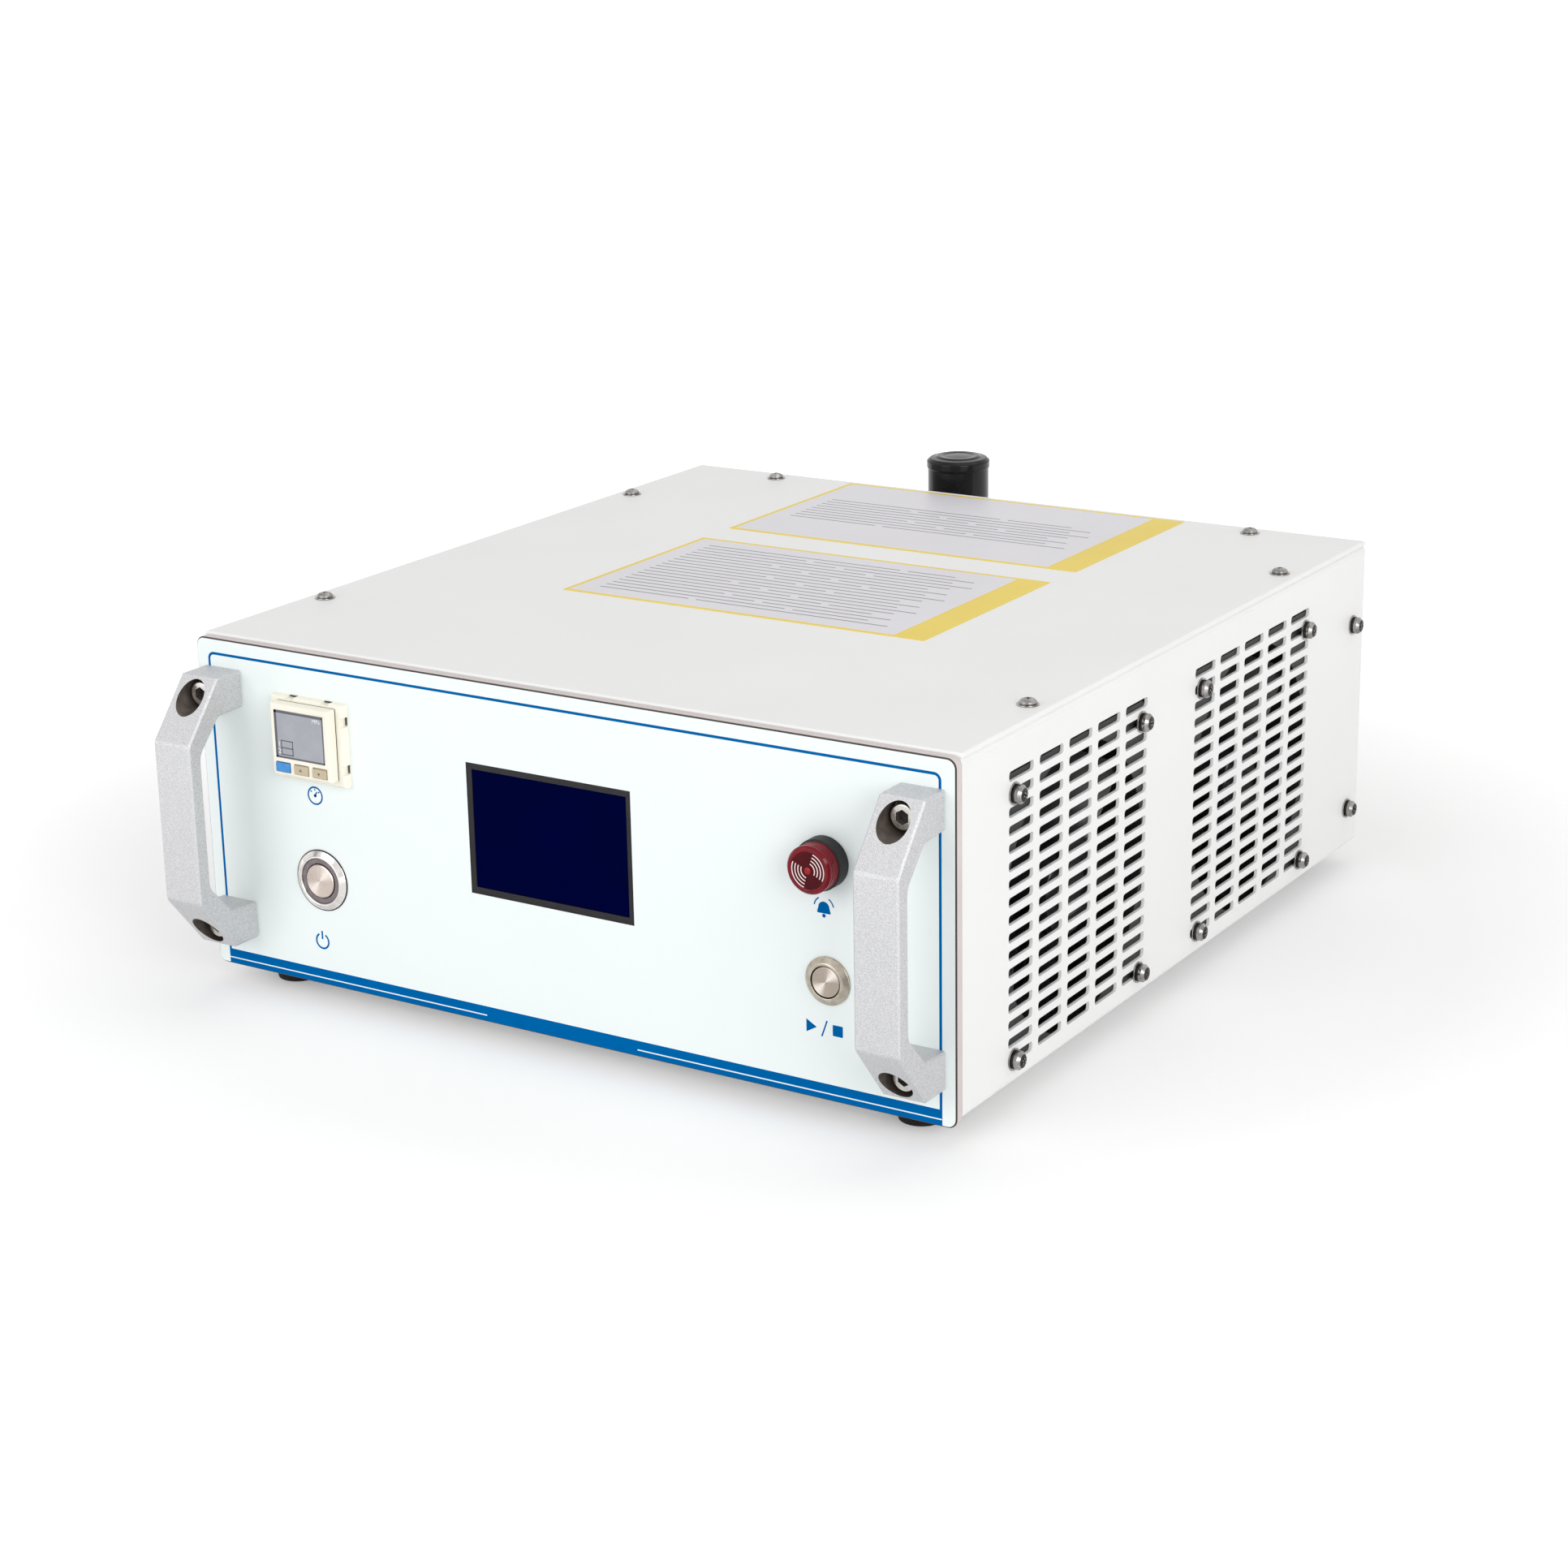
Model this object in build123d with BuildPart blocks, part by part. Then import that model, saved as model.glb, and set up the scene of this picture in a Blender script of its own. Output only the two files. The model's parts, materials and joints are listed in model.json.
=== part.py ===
from build123d import *
import os

# Power unit of a plasma cleaner: a sheet metal case with a control panel at the front, two fans
# behind slot grilles on the right, and its mains, torch and air connections at the back.
# Millimetres. +Z is up, the front faces -Y and +X is the right side as seen from the front.
# The origin is the middle of the footprint, on the surface that the feet stand on.

# Case
case_half_width = 177.8
case_bottom = 10.3
case_top = 151.0
front_face = -194.0
case_front = front_face + 5.0
case_back = front_face + 373.8
sheet = 1.5
cover_thickness = 2.0
cover_edge = 0.6
bend_radius = 2.3
flange_width = 15.0
bracket_leg = 16.0
bracket_sheet = 2.0
case_length = case_back - case_front
case_middle_y = (case_front + case_back) / 2
cover_low = case_top - cover_thickness
wall_inside = case_half_width - sheet
wall_low = case_bottom + bend_radius
wall_high = cover_low - bend_radius
wall_middle_z = (wall_low + wall_high) / 2
inner_bend = bend_radius - sheet
bend_x = case_half_width - bend_radius
flange_edge_x = case_half_width - flange_width
inside_floor = case_bottom + sheet
bracket_low = inside_floor + 1
bracket_high = cover_low - sheet - 1

# Front plate and its printed overlay
plate_width = 356.6
plate_height = 142.2
plate_middle_z = 8.0 + plate_height / 2
plate_thickness = 3.5
plate_corner = 4.0
overlay_thickness = 0.4
overlay_inset = 0.6
plate_front = front_face + overlay_thickness
plate_back = plate_front + plate_thickness

# Grilles and fans, places as (y, z) on the side sheets
slot_length = 19.0
slot_height = 3.8
slot_pitch_y = 23.8
slot_pitch_z = 7.0
grille_columns = 5
grille_rows = 17
grille_middle_z = 76.3
grille_middles_y = (front_face + 97.6, front_face + 255.7)
intake_columns = 4
intake_rows = 8
intake_middle_y = 20.0
fan_size = 120.0
fan_depth = 25.4
fan_corner = 4.0
fan_hole_spacing = 105.0
fan_middle_z = 72.7
fan_middles = {"front": front_face + 96.8, "rear": front_face + 256.4}
fan_duct_radius = 57.5
fan_inner_x = wall_inside - fan_depth
motor_radius = 21.0
motor_plate = 3.0
spoke_width = 5.0
axle_radius = 4.0
hub_radius = 20.0
hub_depth = 20.0
blade_count = 7
duct_sides = 36
hub_sides = 28
blade_chord = 25.0
blade_thickness = 1.6
blade_tip = 55.0
blade_pitch = 42.0
running_gap = 0.05

# Front controls, places as (x, z)
power_button_place = (-118.45, 54.2)
start_button_place = (123.85, 56.35)
alarm_place = (123.4, 103.1)
large_thread_radius = 10.9
small_thread_radius = 7.9
hole_gap = 0.2
fit_gap = 0.1
large_nut_flats = 27.0
small_nut_flats = 19.0
nut_height = 3.5
power_cap_radius = 7.25
start_cap_radius = 6.25

# Pressure switch
switch_place = (-118.0, 115.2)
switch_size = 30.0
switch_height = 9.0
switch_depth = 22.0
frame_place = (-118.3, 114.5)
frame_width = 37.0
frame_height = 34.6
frame_depth = 4.0
display_width = 25.3
display_height = 20.0
display_place = (-118.25, 117.6)
display_recess = 1.0
key_names = {"left": -1, "middle": 0, "right": 1}
key_pitch = 9.5
key_height_z = 103.7
key_length = 7.0
key_width = 3.8
key_depth = 2.6
key_proud = 0.8
key_pocket = 3.2

# Colour display
screen_place = (-2.35, 89.3)
screen_width = 78.2
screen_height = 54.2
glass_width = 73.4
glass_height = 48.7

# Handles
handle_places_x = {"left": -164.5, "right": 164.5}
handle_middle_z = 80.7
handle_width = 19.0
handle_edge = 0.8
handle_screw_offset = 50.0
handle_screw_seat = 8.6
handle_screw_radius = 3.0
handle_screw_head = 5.0
handle_counterbore = 6.5
handle_screw_heights = (handle_middle_z - handle_screw_offset, handle_middle_z + handle_screw_offset)

# Pan head screws with their washers, and the plain ones of the cover
screw_head_radius = 4.4
screw_head_height = 4.7
screw_radius = 2.0
screw_length = 9.0
head_sides = 12
shank_sides = 6
hole_sides = 8
side_screw_y = front_face + 362.0
side_screw_heights = (29.0, 115.0)
cover_screw_radius = 1.5
cover_head_radius = 3.4
cover_head_height = 2.3
cover_screw_length = 7.0
edge_cover_screws = [(x, front_face + y) for x in (-169.0, 169.0) for y in (71.0, 300.0)]
rear_cover_screws = [(x, front_face + 363.0) for x in (-126.5, 126.5)]

# Feet
foot_places = [(x, front_face + y) for x in (-152.0, 152.0) for y in (20.0, 354.0)]
foot_radius = 10.0
foot_low_radius = 8.9

# Inside
board_height = 24.0
board_thickness = 1.6
board_place = (30.0, 85.0)
board_width = 170.0
board_length = 120.0
standoff_spacing = (160.0, 110.0)
heatsink_place = (62.0, 100.0)
fin_count = 9
fin_pitch = 9.0
transformer_place = (-110.0, 95.0)
control_board_y = front_face + 18.0

# Rear connections, places as (x, z)
inlet_place = (-128.0, 52.0)
inlet_flange_width = 50.0
inlet_flange_height = 34.0
inlet_flange = 2.2
inlet_body_width = 27.0
inlet_body_height = 31.0
inlet_depth = 24.0
socket_height = 57.0
socket_depth = 16.0
drawer_height = 41.0
drawer_width = 21.8
drawer_thickness = 6.6
drawer_length = 20.0
drawer_lip = 1.8
stud_place = (-84.0, 40.0)
stud_radius = 3.0
remote_place = (62.0, 60.0)
torch_place = (112.0, 60.0)
torch_bore_radius = 11.0
gas_place = (152.0, 60.0)
gas_tube_radius = 4.05

# Filter regulator behind the rear panel
regulator_x = -45.5
regulator_y = 207.3
regulator_axis_place = (regulator_x, regulator_y)
regulator_side = 41.0
port_height = 109.0
port_radius = 5.9
outlet_radius = 6.5
body_low = 92.0
body_high = 126.0
shoulder_radius = 20.0
shoulder_top = 134.0
bracket_plate = 2.0
neck_top = 142.5
neck_radius = 13.0
ring_nut_radius = 15.3
ring_nut_height = 6.0
knob_radius = 15.35
knob_bottom = 143.0
knob_top = 163.6
stem_radius = 4.0
stem_low = 132.5
stem_top = 158.0
bowl_radius = 19.5
bowl_wall = 2.3
bowl_low = 46.0
cock_radius = 4.0
elbow_x = -11.0
elbow_size = 16.0
bracket_screw_places = [(regulator_x + x, 116.0) for x in (-14.0, 14.0)]

os.makedirs("parts", exist_ok=True)


def front_plane(y):
    # Sketch plane square to the front: local x and y are X and Z, and it faces -Y.
    return Plane(origin=(0, y, 0), x_dir=(1, 0, 0), z_dir=(0, -1, 0))


def side_plane(x):
    # Sketch plane square to the sides: local x and y are Y and Z, and it faces +X.
    return Plane(origin=(x, 0, 0), x_dir=(0, 1, 0), z_dir=(1, 0, 0))


def turned_plane(place, y=front_face):
    # Half section of a turned piece: local x is the height in front of y, local y the radius.
    return Plane(origin=(place[0], y, place[1]), x_dir=(0, -1, 0), z_dir=(-1, 0, 0))


def turned_axis(place):
    return Axis((place[0], front_face, place[1]), (0, -1, 0))


def upright_plane(place):
    # Half section of a piece turned about a vertical axis: local x is the radius, local y is Z.
    return Plane(origin=(place[0], place[1], 0), x_dir=(1, 0, 0), z_dir=(0, -1, 0))


def upright_axis(place):
    return Axis((place[0], place[1], 0), (0, 0, 1))


# Case sheets

with BuildSketch(Plane.XY) as slot:
    Rectangle(slot_length, slot_height)

fan_screw_places = [
    (middle + y * fan_hole_spacing / 2, fan_middle_z + z * fan_hole_spacing / 2)
    for middle in fan_middles.values()
    for y in (-1, 1)
    for z in (-1, 1)
]
side_screw_places = [(side_screw_y, z) for z in side_screw_heights]

with BuildPart() as base_plate:
    with BuildSketch(Plane.XY.offset(case_bottom)):
        with Locations((0, case_middle_y)):
            Rectangle(2 * flange_edge_x, case_length)
    extrude(amount=sheet)
base_plate.part.label = "base_plate"
export_step(base_plate.part, "parts/base_plate.step")

with BuildPart() as right_side_panel:
    with BuildSketch(side_plane(wall_inside)):
        with Locations((case_middle_y, wall_middle_z)):
            Rectangle(case_length, wall_high - wall_low)
        for middle_y in grille_middles_y:
            with Locations((middle_y, grille_middle_z)):
                with GridLocations(slot_pitch_y, slot_pitch_z, grille_columns, grille_rows):
                    add(slot.sketch, mode=Mode.SUBTRACT)
        with Locations(*fan_screw_places, *side_screw_places):
            RegularPolygon(screw_radius + hole_gap, hole_sides, mode=Mode.SUBTRACT)
    extrude(amount=sheet)
right_side_panel.part.label = "right_side_panel"
export_step(right_side_panel.part, "parts/right_side_panel.step")

with BuildPart() as left_side_panel:
    with BuildSketch(side_plane(-case_half_width)):
        with Locations((case_middle_y, wall_middle_z)):
            Rectangle(case_length, wall_high - wall_low)
        with Locations((intake_middle_y, grille_middle_z)):
            with GridLocations(slot_pitch_y, slot_pitch_z, intake_columns, intake_rows):
                add(slot.sketch, mode=Mode.SUBTRACT)
        with Locations(*side_screw_places):
            RegularPolygon(screw_radius + hole_gap, hole_sides, mode=Mode.SUBTRACT)
    extrude(amount=sheet)
left_side_panel.part.label = "left_side_panel"
export_step(left_side_panel.part, "parts/left_side_panel.step")

# The bent edges of the side sheets: the upper ones carry the cover, the lower ones the base plate
with BuildPart() as side_flanges:
    with BuildSketch(front_plane(case_back)):
        with BuildLine():
            Line((case_half_width, wall_high), (wall_inside, wall_high))
            JernArc((wall_inside, wall_high), (0, 1), inner_bend, 90)
            Line((bend_x, cover_low - sheet), (flange_edge_x, cover_low - sheet))
            Line((flange_edge_x, cover_low - sheet), (flange_edge_x, cover_low))
            Line((flange_edge_x, cover_low), (bend_x, cover_low))
            JernArc((bend_x, cover_low), (1, 0), bend_radius, -90)
        make_face()
        mirror(about=Plane.XZ.offset(-wall_middle_z))
    extrude(amount=case_length)
    with BuildSketch(Plane.XY.offset(cover_low)):
        with Locations(*[(x, y) for x, y in edge_cover_screws if x > 0]):
            RegularPolygon(cover_screw_radius + fit_gap, shank_sides)
    extrude(amount=-sheet, mode=Mode.SUBTRACT)
    mirror(about=Plane.YZ)
side_flanges.part.label = "side_flanges"
export_step(side_flanges.part, "parts/side_flanges.step")

# Angles in the front corners, which the handle screws hold against the front plate
with BuildPart() as front_brackets:
    with BuildSketch(Plane.XY.offset(bracket_low)):
        with Locations((wall_inside, plate_back)):
            Rectangle(bracket_leg, bracket_sheet, align=(Align.MAX, Align.MIN))
            Rectangle(bracket_sheet, bracket_leg, align=(Align.MAX, Align.MIN))
    extrude(amount=bracket_high - bracket_low)
    with BuildSketch(front_plane(plate_back + bracket_sheet)):
        with Locations(*[(handle_places_x["right"], z) for z in handle_screw_heights]):
            RegularPolygon(handle_screw_radius + 2 * hole_gap, hole_sides)
    extrude(amount=bracket_sheet, mode=Mode.SUBTRACT)
    mirror(about=Plane.YZ)
front_brackets.part.label = "front_brackets"
export_step(front_brackets.part, "parts/front_brackets.step")

# Angles in the rear corners, which join the rear panel to the side sheets
with BuildPart() as rear_brackets:
    with BuildSketch(Plane.XY.offset(bracket_low)):
        with Locations((wall_inside, case_back - sheet)):
            Rectangle(bracket_leg, bracket_sheet, align=(Align.MAX, Align.MAX))
            Rectangle(bracket_sheet, bracket_leg, align=(Align.MAX, Align.MAX))
    extrude(amount=bracket_high - bracket_low)
    with BuildSketch(side_plane(wall_inside - bracket_sheet)):
        with Locations(*side_screw_places):
            RegularPolygon(screw_radius + hole_gap, hole_sides)
    extrude(amount=bracket_sheet, mode=Mode.SUBTRACT)
    mirror(about=Plane.YZ)
rear_brackets.part.label = "rear_brackets"
export_step(rear_brackets.part, "parts/rear_brackets.step")

# Rear panel, with a lip under the cover for the two rear cover screws
with BuildPart() as rear_panel:
    with BuildSketch(front_plane(case_back)) as rear_outline:
        with Locations((0, (inside_floor + cover_low - sheet) / 2)):
            Rectangle(2 * wall_inside, cover_low - sheet - inside_floor)
        chamfer(rear_outline.vertices(), inner_bend)
        with Locations(inlet_place):
            Rectangle(inlet_body_width, inlet_body_height, mode=Mode.SUBTRACT)
        with Locations(torch_place):
            Circle(torch_bore_radius + 2, mode=Mode.SUBTRACT)
        with Locations(remote_place):
            Circle(small_thread_radius, mode=Mode.SUBTRACT)
        with Locations(gas_place, (elbow_x, port_height)):
            Circle(outlet_radius, mode=Mode.SUBTRACT)
        with Locations(stud_place):
            RegularPolygon(stud_radius + 2 * hole_gap, hole_sides, mode=Mode.SUBTRACT)
        with Locations(*bracket_screw_places):
            RegularPolygon(screw_radius + hole_gap, hole_sides, mode=Mode.SUBTRACT)
    extrude(amount=sheet)
    with BuildSketch(Plane.XY.offset(cover_low)):
        with Locations((0, case_back)):
            Rectangle(2 * flange_edge_x, flange_width, align=(Align.CENTER, Align.MAX))
        with Locations(*rear_cover_screws):
            RegularPolygon(cover_screw_radius + fit_gap, shank_sides, mode=Mode.SUBTRACT)
    extrude(amount=-sheet)
rear_panel.part.label = "rear_panel"
export_step(rear_panel.part, "parts/rear_panel.step")

with BuildPart() as top_cover:
    with BuildSketch(Plane.XY.offset(cover_low)):
        with Locations((0, case_middle_y)):
            Rectangle(2 * case_half_width, case_length)
        with Locations(*edge_cover_screws, *rear_cover_screws):
            RegularPolygon(cover_screw_radius + fit_gap, shank_sides, mode=Mode.SUBTRACT)
    extrude(amount=cover_thickness)
    chamfer(top_cover.faces().sort_by(Axis.Z)[-1].outer_wire().edges(), cover_edge)
top_cover.part.label = "top_cover"
export_step(top_cover.part, "parts/top_cover.step")

with BuildPart() as rubber_feet:
    with Locations(*[(x, y, 0) for x, y in foot_places]):
        Cone(foot_low_radius, foot_radius, case_bottom, align=(Align.CENTER, Align.CENTER, Align.MIN))
rubber_feet.part.label = "rubber_feet"
export_step(rubber_feet.part, "parts/rubber_feet.step")

# Front plate, with one cut-out for each control, and the film on it

plate_sheets = {
    "front_plate": (plate_back, plate_thickness, 0.0),
    "front_overlay": (plate_front, overlay_thickness, overlay_inset),
}
for name, (back, thickness, inset) in plate_sheets.items():
    with BuildPart() as plate:
        with BuildSketch(front_plane(back)):
            with Locations((0, plate_middle_z)):
                RectangleRounded(plate_width - 2 * inset, plate_height - 2 * inset, plate_corner - inset)
            with Locations(screen_place):
                Rectangle(screen_width, screen_height, mode=Mode.SUBTRACT)
            with Locations(switch_place):
                Rectangle(switch_size, switch_size, mode=Mode.SUBTRACT)
            with Locations(power_button_place):
                Circle(large_thread_radius + hole_gap, mode=Mode.SUBTRACT)
            with Locations(start_button_place, alarm_place):
                Circle(small_thread_radius + hole_gap, mode=Mode.SUBTRACT)
            with Locations(*[(x, z) for x in handle_places_x.values() for z in handle_screw_heights]):
                RegularPolygon(handle_screw_radius + 2 * hole_gap, hole_sides, mode=Mode.SUBTRACT)
        extrude(amount=thickness)
    plate.part.label = name
    export_step(plate.part, f"parts/{name}.step")

# Handles: cast bars with slanted ends and deep counterbores

handle_outer_bends = [(-33.8, -33.8), (-33.8, 33.8)]
handle_inner_bends = [(-26.8, 28.3), (-26.8, -28.3)]
handle_profile = [
    (0, 57.7),
    (-14.4, 57.7),
    handle_outer_bends[1],
    handle_outer_bends[0],
    (-14.4, -57.7),
    (0, -57.7),
    (0, -42.3),
    (-14.6, -41.6),
    handle_inner_bends[1],
    handle_inner_bends[0],
    (-14.6, 41.6),
    (0, 42.3),
]
for side, middle_x in handle_places_x.items():
    with BuildPart() as handle:
        handle_plane = side_plane(middle_x - handle_width / 2)
        handle_plane.origin = (middle_x - handle_width / 2, front_face, handle_middle_z)
        with BuildSketch(handle_plane) as bar:
            with BuildLine():
                Polyline(*handle_profile, close=True)
            make_face()
            fillet(bar.vertices().sort_by(Axis.X)[0:2], 3)
            fillet([v for v in bar.vertices() if abs(v.X + 26.8) < 0.1], 7)
        extrude(amount=handle_width)
        chamfer(handle.faces().filter_by(Axis.X).edges(), handle_edge)
        with BuildSketch(front_plane(front_face)):
            with Locations(*[(middle_x, z) for z in handle_screw_heights]):
                RegularPolygon(handle_screw_radius + 2 * hole_gap, hole_sides)
        extrude(amount=handle_screw_seat, mode=Mode.SUBTRACT)
        with BuildSketch(front_plane(front_face - handle_screw_seat)):
            with Locations(*[(middle_x, z) for z in handle_screw_heights]):
                Circle(handle_counterbore)
        extrude(amount=20, mode=Mode.SUBTRACT)
    handle.part.label = f"handle_{side}"
    export_step(handle.part, f"parts/handle_{side}.step")

with BuildPart() as handle_screws:
    handle_screw_places = [(x, z) for x in handle_places_x.values() for z in handle_screw_heights]
    with BuildSketch(front_plane(front_face - handle_screw_seat)):
        with Locations(*handle_screw_places):
            Circle(handle_screw_head)
    extrude(amount=6)
    with BuildSketch(front_plane(front_face - handle_screw_seat)):
        with Locations(*handle_screw_places):
            RegularPolygon(handle_screw_radius, hole_sides)
    extrude(amount=-18)
    with BuildSketch(front_plane(front_face - handle_screw_seat - 6)):
        with Locations(*handle_screw_places):
            RegularPolygon(2.9, 6)
    extrude(amount=-3, mode=Mode.SUBTRACT)
handle_screws.part.label = "handle_screws"
export_step(handle_screws.part, "parts/handle_screws.step")

# Power button: chrome bezel on a threaded barrel, light ring, sliding cap

with BuildPart() as power_button_body:
    with BuildSketch(turned_plane(power_button_place)):
        with BuildLine():
            Polyline(
                (-28, 0),
                (-28, large_thread_radius),
                (0, large_thread_radius),
                (0, 12.75),
                (1.1, 12.75),
                (2.0, 11.6),
                (2.0, 10.15),
                (-0.6, 10.15),
                (-0.6, power_cap_radius + fit_gap),
                (-11, power_cap_radius + fit_gap),
                (-11, 0),
                close=True,
            )
        make_face()
    revolve(axis=turned_axis(power_button_place))
power_button_body.part.label = "power_button_body"
export_step(power_button_body.part, "parts/power_button_body.step")

with BuildPart() as power_button_ring:
    with BuildSketch(front_plane(front_face + 0.6)):
        with Locations(power_button_place):
            Circle(10.15)
            Circle(power_cap_radius + fit_gap, mode=Mode.SUBTRACT)
    extrude(amount=2.4)
power_button_ring.part.label = "power_button_ring"
export_step(power_button_ring.part, "parts/power_button_ring.step")

with BuildPart() as power_button_cap:
    with BuildSketch(front_plane(front_face + 7)):
        with Locations(power_button_place):
            Circle(power_cap_radius)
    extrude(amount=9)
    chamfer(power_button_cap.faces().sort_by(Axis.Y)[0].edges(), 0.4)
power_button_cap.part.label = "power_button_cap"
export_step(power_button_cap.part, "parts/power_button_cap.step")

# Start and stop button: the smaller series, with a cone for a bezel

with BuildPart() as start_button_body:
    with BuildSketch(turned_plane(start_button_place)):
        with BuildLine():
            Polyline(
                (-22, 0),
                (-22, small_thread_radius),
                (0, small_thread_radius),
                (0, 9.6),
                (0.7, 9.6),
                (2.4, 7.3),
                (2.4, start_cap_radius + fit_gap),
                (-8, start_cap_radius + fit_gap),
                (-8, 0),
                close=True,
            )
        make_face()
    revolve(axis=turned_axis(start_button_place))
start_button_body.part.label = "start_button_body"
export_step(start_button_body.part, "parts/start_button_body.step")

with BuildPart() as start_button_cap:
    with BuildSketch(front_plane(front_face + 5)):
        with Locations(start_button_place):
            Circle(start_cap_radius)
    extrude(amount=7.2)
    chamfer(start_button_cap.faces().sort_by(Axis.Y)[0].edges(), 0.4)
start_button_cap.part.label = "start_button_cap"
export_step(start_button_cap.part, "parts/start_button_cap.step")

# Alarm: buzzer on a threaded barrel under a red lens

with BuildPart() as alarm_base:
    with BuildSketch(turned_plane(alarm_place)):
        with BuildLine():
            Polyline(
                (-24, 0),
                (-24, small_thread_radius),
                (0, small_thread_radius),
                (0, 10),
                (6, 10),
                (6, 7),
                (10, 7),
                (10, 0),
                close=True,
            )
        make_face()
    revolve(axis=turned_axis(alarm_place))
alarm_base.part.label = "alarm_base"
export_step(alarm_base.part, "parts/alarm_base.step")

with BuildPart() as alarm_lens:
    with BuildSketch(turned_plane(alarm_place)):
        with BuildLine():
            Polyline(
                (6, 9.3),
                (11.7, 9.3),
                (12.5, 8.5),
                (12.5, 0),
                (11.2, 0),
                (11.2, 8),
                (6, 8),
                close=True,
            )
        make_face()
    revolve(axis=turned_axis(alarm_place))
alarm_lens.part.label = "alarm_lens"
export_step(alarm_lens.part, "parts/alarm_lens.step")

with BuildPart() as panel_nuts:
    with BuildSketch(front_plane(plate_back)):
        with Locations(power_button_place):
            RegularPolygon(large_nut_flats / 2, 6, major_radius=False)
            Circle(large_thread_radius, mode=Mode.SUBTRACT)
        with Locations(start_button_place, alarm_place):
            RegularPolygon(small_nut_flats / 2, 6, major_radius=False)
            Circle(small_thread_radius, mode=Mode.SUBTRACT)
    extrude(amount=-nut_height)
panel_nuts.part.label = "panel_nuts"
export_step(panel_nuts.part, "parts/panel_nuts.step")

# Pressure switch: clip frame, body with display pocket, three keys

with BuildPart() as pressure_switch_frame:
    with BuildSketch(front_plane(front_face)):
        with Locations(frame_place):
            Rectangle(frame_width, frame_height)
    extrude(amount=frame_depth)
    chamfer(pressure_switch_frame.faces().sort_by(Axis.Y)[0].edges(), 0.8)
    with BuildSketch(front_plane(front_face)):
        with Locations(switch_place):
            Rectangle(switch_size, switch_size)
        with Locations((frame_place[0] + frame_width / 2, frame_place[1])):
            with GridLocations(1, 20, 1, 2):
                Rectangle(3, 4)
        with Locations((frame_place[0], frame_place[1] + frame_height / 2)):
            with GridLocations(18, 1, 2, 1):
                Rectangle(5, 2)
    extrude(amount=frame_depth, mode=Mode.SUBTRACT)
pressure_switch_frame.part.label = "pressure_switch_frame"
export_step(pressure_switch_frame.part, "parts/pressure_switch_frame.step")

with BuildPart() as pressure_switch_body:
    with BuildSketch(front_plane(front_face + switch_depth)):
        with Locations(switch_place):
            Rectangle(switch_size, switch_size)
    extrude(amount=switch_depth + switch_height)
    chamfer(pressure_switch_body.faces().sort_by(Axis.Y)[0].edges(), 0.6)
    with BuildSketch(front_plane(front_face - switch_height)):
        with Locations(display_place):
            Rectangle(display_width, display_height)
    extrude(amount=-display_recess, mode=Mode.SUBTRACT)
    with BuildSketch(front_plane(front_face - switch_height)):
        with Locations((switch_place[0], key_height_z)):
            with GridLocations(key_pitch, 1, 3, 1):
                Rectangle(key_length + 2 * hole_gap, key_width + 2 * hole_gap)
    extrude(amount=-key_pocket, mode=Mode.SUBTRACT)
    with BuildSketch(front_plane(front_face + switch_depth)):
        with Locations(switch_place):
            RegularPolygon(6, 6)
    extrude(amount=-6)
pressure_switch_body.part.label = "pressure_switch_body"
export_step(pressure_switch_body.part, "parts/pressure_switch_body.step")

with BuildPart() as pressure_display:
    with BuildSketch(front_plane(front_face - switch_height + display_recess)):
        with Locations(display_place):
            Rectangle(display_width, display_height)
    extrude(amount=display_recess)
pressure_display.part.label = "pressure_display"
export_step(pressure_display.part, "parts/pressure_display.step")

for name, step in key_names.items():
    with BuildPart() as key:
        with BuildSketch(front_plane(front_face - switch_height - key_proud)):
            with Locations((switch_place[0] + step * key_pitch, key_height_z)):
                Rectangle(key_length, key_width)
        extrude(amount=-key_depth)
        chamfer(key.faces().sort_by(Axis.Y)[0].edges(), 0.3)
    key.part.label = f"pressure_key_{name}"
    export_step(key.part, f"parts/pressure_key_{name}.step")

# Colour display: metal-backed module whose frame fills the window, glass in the frame

with BuildPart() as screen_module:
    with BuildSketch(front_plane(plate_back + 8)):
        with Locations(screen_place):
            Rectangle(84, 60)
    extrude(amount=8)
    with BuildSketch(front_plane(plate_back)):
        with Locations(screen_place):
            Rectangle(screen_width, screen_height)
    extrude(amount=3.6)
    with BuildSketch(front_plane(plate_back - 3.6)):
        with Locations(screen_place):
            Rectangle(glass_width, glass_height)
    extrude(amount=-1.9, mode=Mode.SUBTRACT)
screen_module.part.label = "screen_module"
export_step(screen_module.part, "parts/screen_module.step")

with BuildPart() as screen_glass:
    with BuildSketch(front_plane(plate_back - 1.7)):
        with Locations(screen_place):
            Rectangle(glass_width, glass_height)
    extrude(amount=1.5)
screen_glass.part.label = "screen_glass"
export_step(screen_glass.part, "parts/screen_glass.step")

with BuildPart() as control_board:
    with BuildSketch(front_plane(control_board_y)):
        with Locations(screen_place):
            Rectangle(120, 80)
    extrude(amount=board_thickness)
    with BuildSketch(front_plane(control_board_y - board_thickness)):
        with Locations(screen_place):
            Rectangle(40, 30)
    extrude(amount=control_board_y - board_thickness - plate_back - 8)
control_board.part.label = "control_board"
export_step(control_board.part, "parts/control_board.step")

# Fans: flanged duct with a spider for the motor, and a bladed rotor on its axle

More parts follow.
